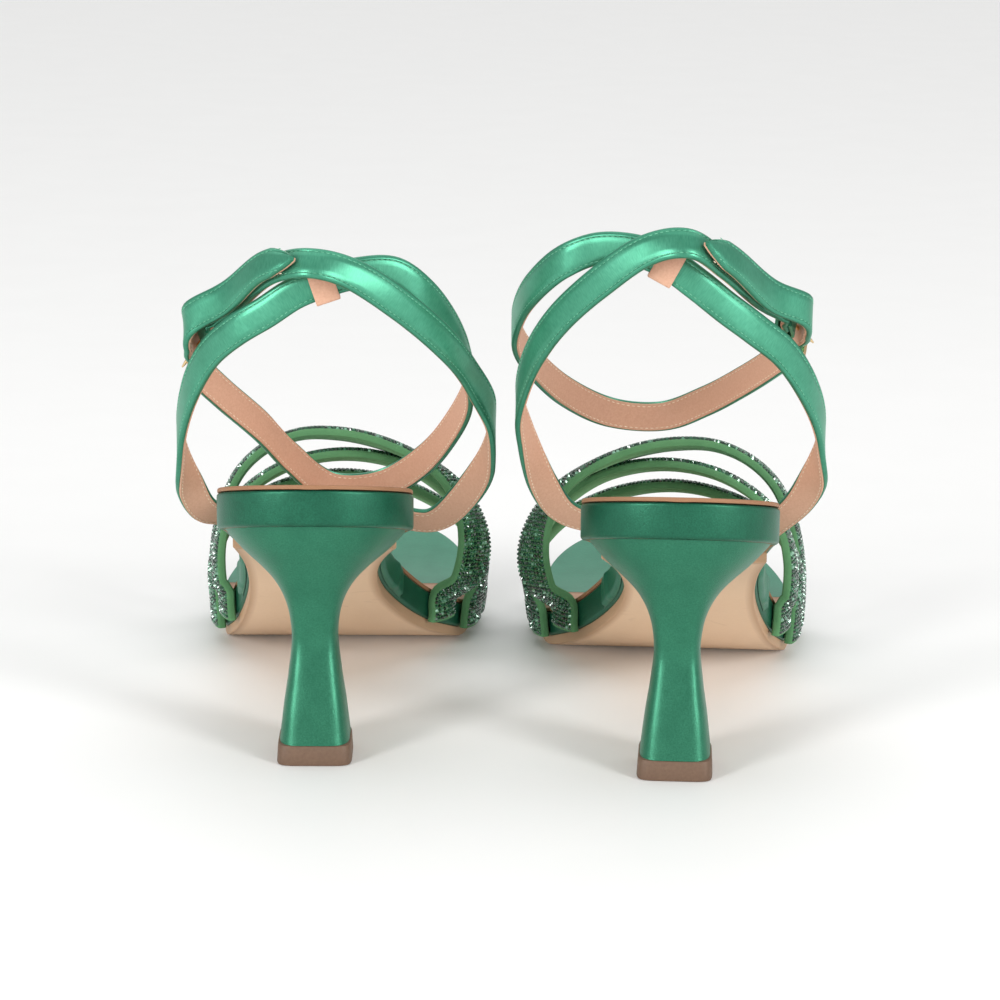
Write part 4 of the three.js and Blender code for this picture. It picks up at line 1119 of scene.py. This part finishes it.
def prong(place):
    """A straight prong that lies on the far bar, with an eye round the near one."""
    slope = (FAR_BAR_OUT + WIRE_RADIUS + STRAP_GAP + PRONG_RADIUS) / BUCKLE_LENGTH
    reach_out = BUCKLE_LENGTH + 1.2
    start, tip = place.put(0.6, 0.9), place.put(reach_out, slope * reach_out)
    side = place.across
    up = side.cross((tip - start).normalized())
    rings = []
    for k in range(PRONG_STEPS + 1):
        point = start.lerp(tip, k / PRONG_STEPS)
        here = PRONG_RADIUS * PRONG_TAPER.get(k, 1)
        rings.append([point + side * (here * c) + up * (here * s)
                      for c, s in round_steps(PRONG_SIDES)])
    points, faces = skin(rings)
    eye_rings = []
    for c, s in round_steps(EYE_STEPS):
        ring = []
        for wire_c, wire_s in round_steps(EYE_SIDES):
            radius = WIRE_RADIUS + EYE_CLEAR + EYE_WIRE * wire_c
            ring.append(place.put(radius * c, radius * s, PRONG_RADIUS * wire_s))
        eye_rings.append(ring)
    eye_points, eye_faces = skin(eye_rings, closed=True)
    return (points + eye_points,
            faces + [tuple(len(points) + v for v in face) for face in eye_faces])


def buckle_tab(put):
    """Satin folded round the bar: a leg, a half turn and the other leg."""
    half, leg, arc = STRAP_WIDTH / 2, 6, 12
    spine = [((-leg, -BAR_CLEAR), (-leg, -TAB_OUT))]
    for k in range(arc + 1):
        angle = -math.pi / 2 + math.pi * k / arc
        spine.append(((BAR_CLEAR * math.cos(angle), BAR_CLEAR * math.sin(angle)),
                      (TAB_OUT * math.cos(angle), TAB_OUT * math.sin(angle))))
    spine.append(((-leg, BAR_CLEAR), (-leg, TAB_OUT)))
    return skin([[put(*inner, -half), put(*inner, half), put(*outer, half), put(*outer, -half)]
                 for inner, outer in spine])


def back_keeper(route):
    """A squared leather loop round both straps."""
    at, across, face = route.frame(KEEPER_POINT / (len(route.points) - 1))
    out, along = face * -1, face.cross(across)
    inner_a = STRAP_WIDTH / 2 + 0.5
    inner_n = (STRAP_SATIN + STRAP_LINING + STRAP_GAP) / 2 + 0.45
    at = at + out * ((STRAP_SATIN - STRAP_LINING) / 2)
    rings = []
    for c, s in round_steps(KEEPER_STEPS):
        ring = []
        for grow, shift in KEEPER_PROFILE:
            a = signed_power(c, KEEPER_SQUARENESS) * (inner_a + grow)
            n = signed_power(s, KEEPER_SQUARENESS) * (inner_n + grow)
            ring.append(at + across * a + out * n + along * shift)
        rings.append(ring)
    return skin(rings, closed=True)


for shoe in SHOES:
    ways = ROUTES[shoe.name]
    place = BucklePlace(ways)
    points, faces = wire_loop(frame_path(place.put), WIRE_RADIUS)
    shoe.piece("buckle_frame", points, faces, gilt, "gold", f"{shoe.name}_buckle", ["buckle_frame"])
    points, faces = prong(place)
    shoe.piece("buckle_prong", points, faces, gilt, "gold", f"{shoe.name}_prong", ["buckle_prong"])
    points, faces = buckle_tab(place.put)
    marks = {"along": [0.0] * len(points), "across": [0.0] * len(points)}
    shoe.piece("buckle_tab", points, faces, strap_satin, "strap_satin", replaces=["buckle_tab"],
               marks=marks)
    points, faces = back_keeper(Route(wrap_points(ways), wrap_lean))
    shoe.piece("back_keeper", points, faces, strap_tan, "tan_leather", replaces=["back_keeper"])
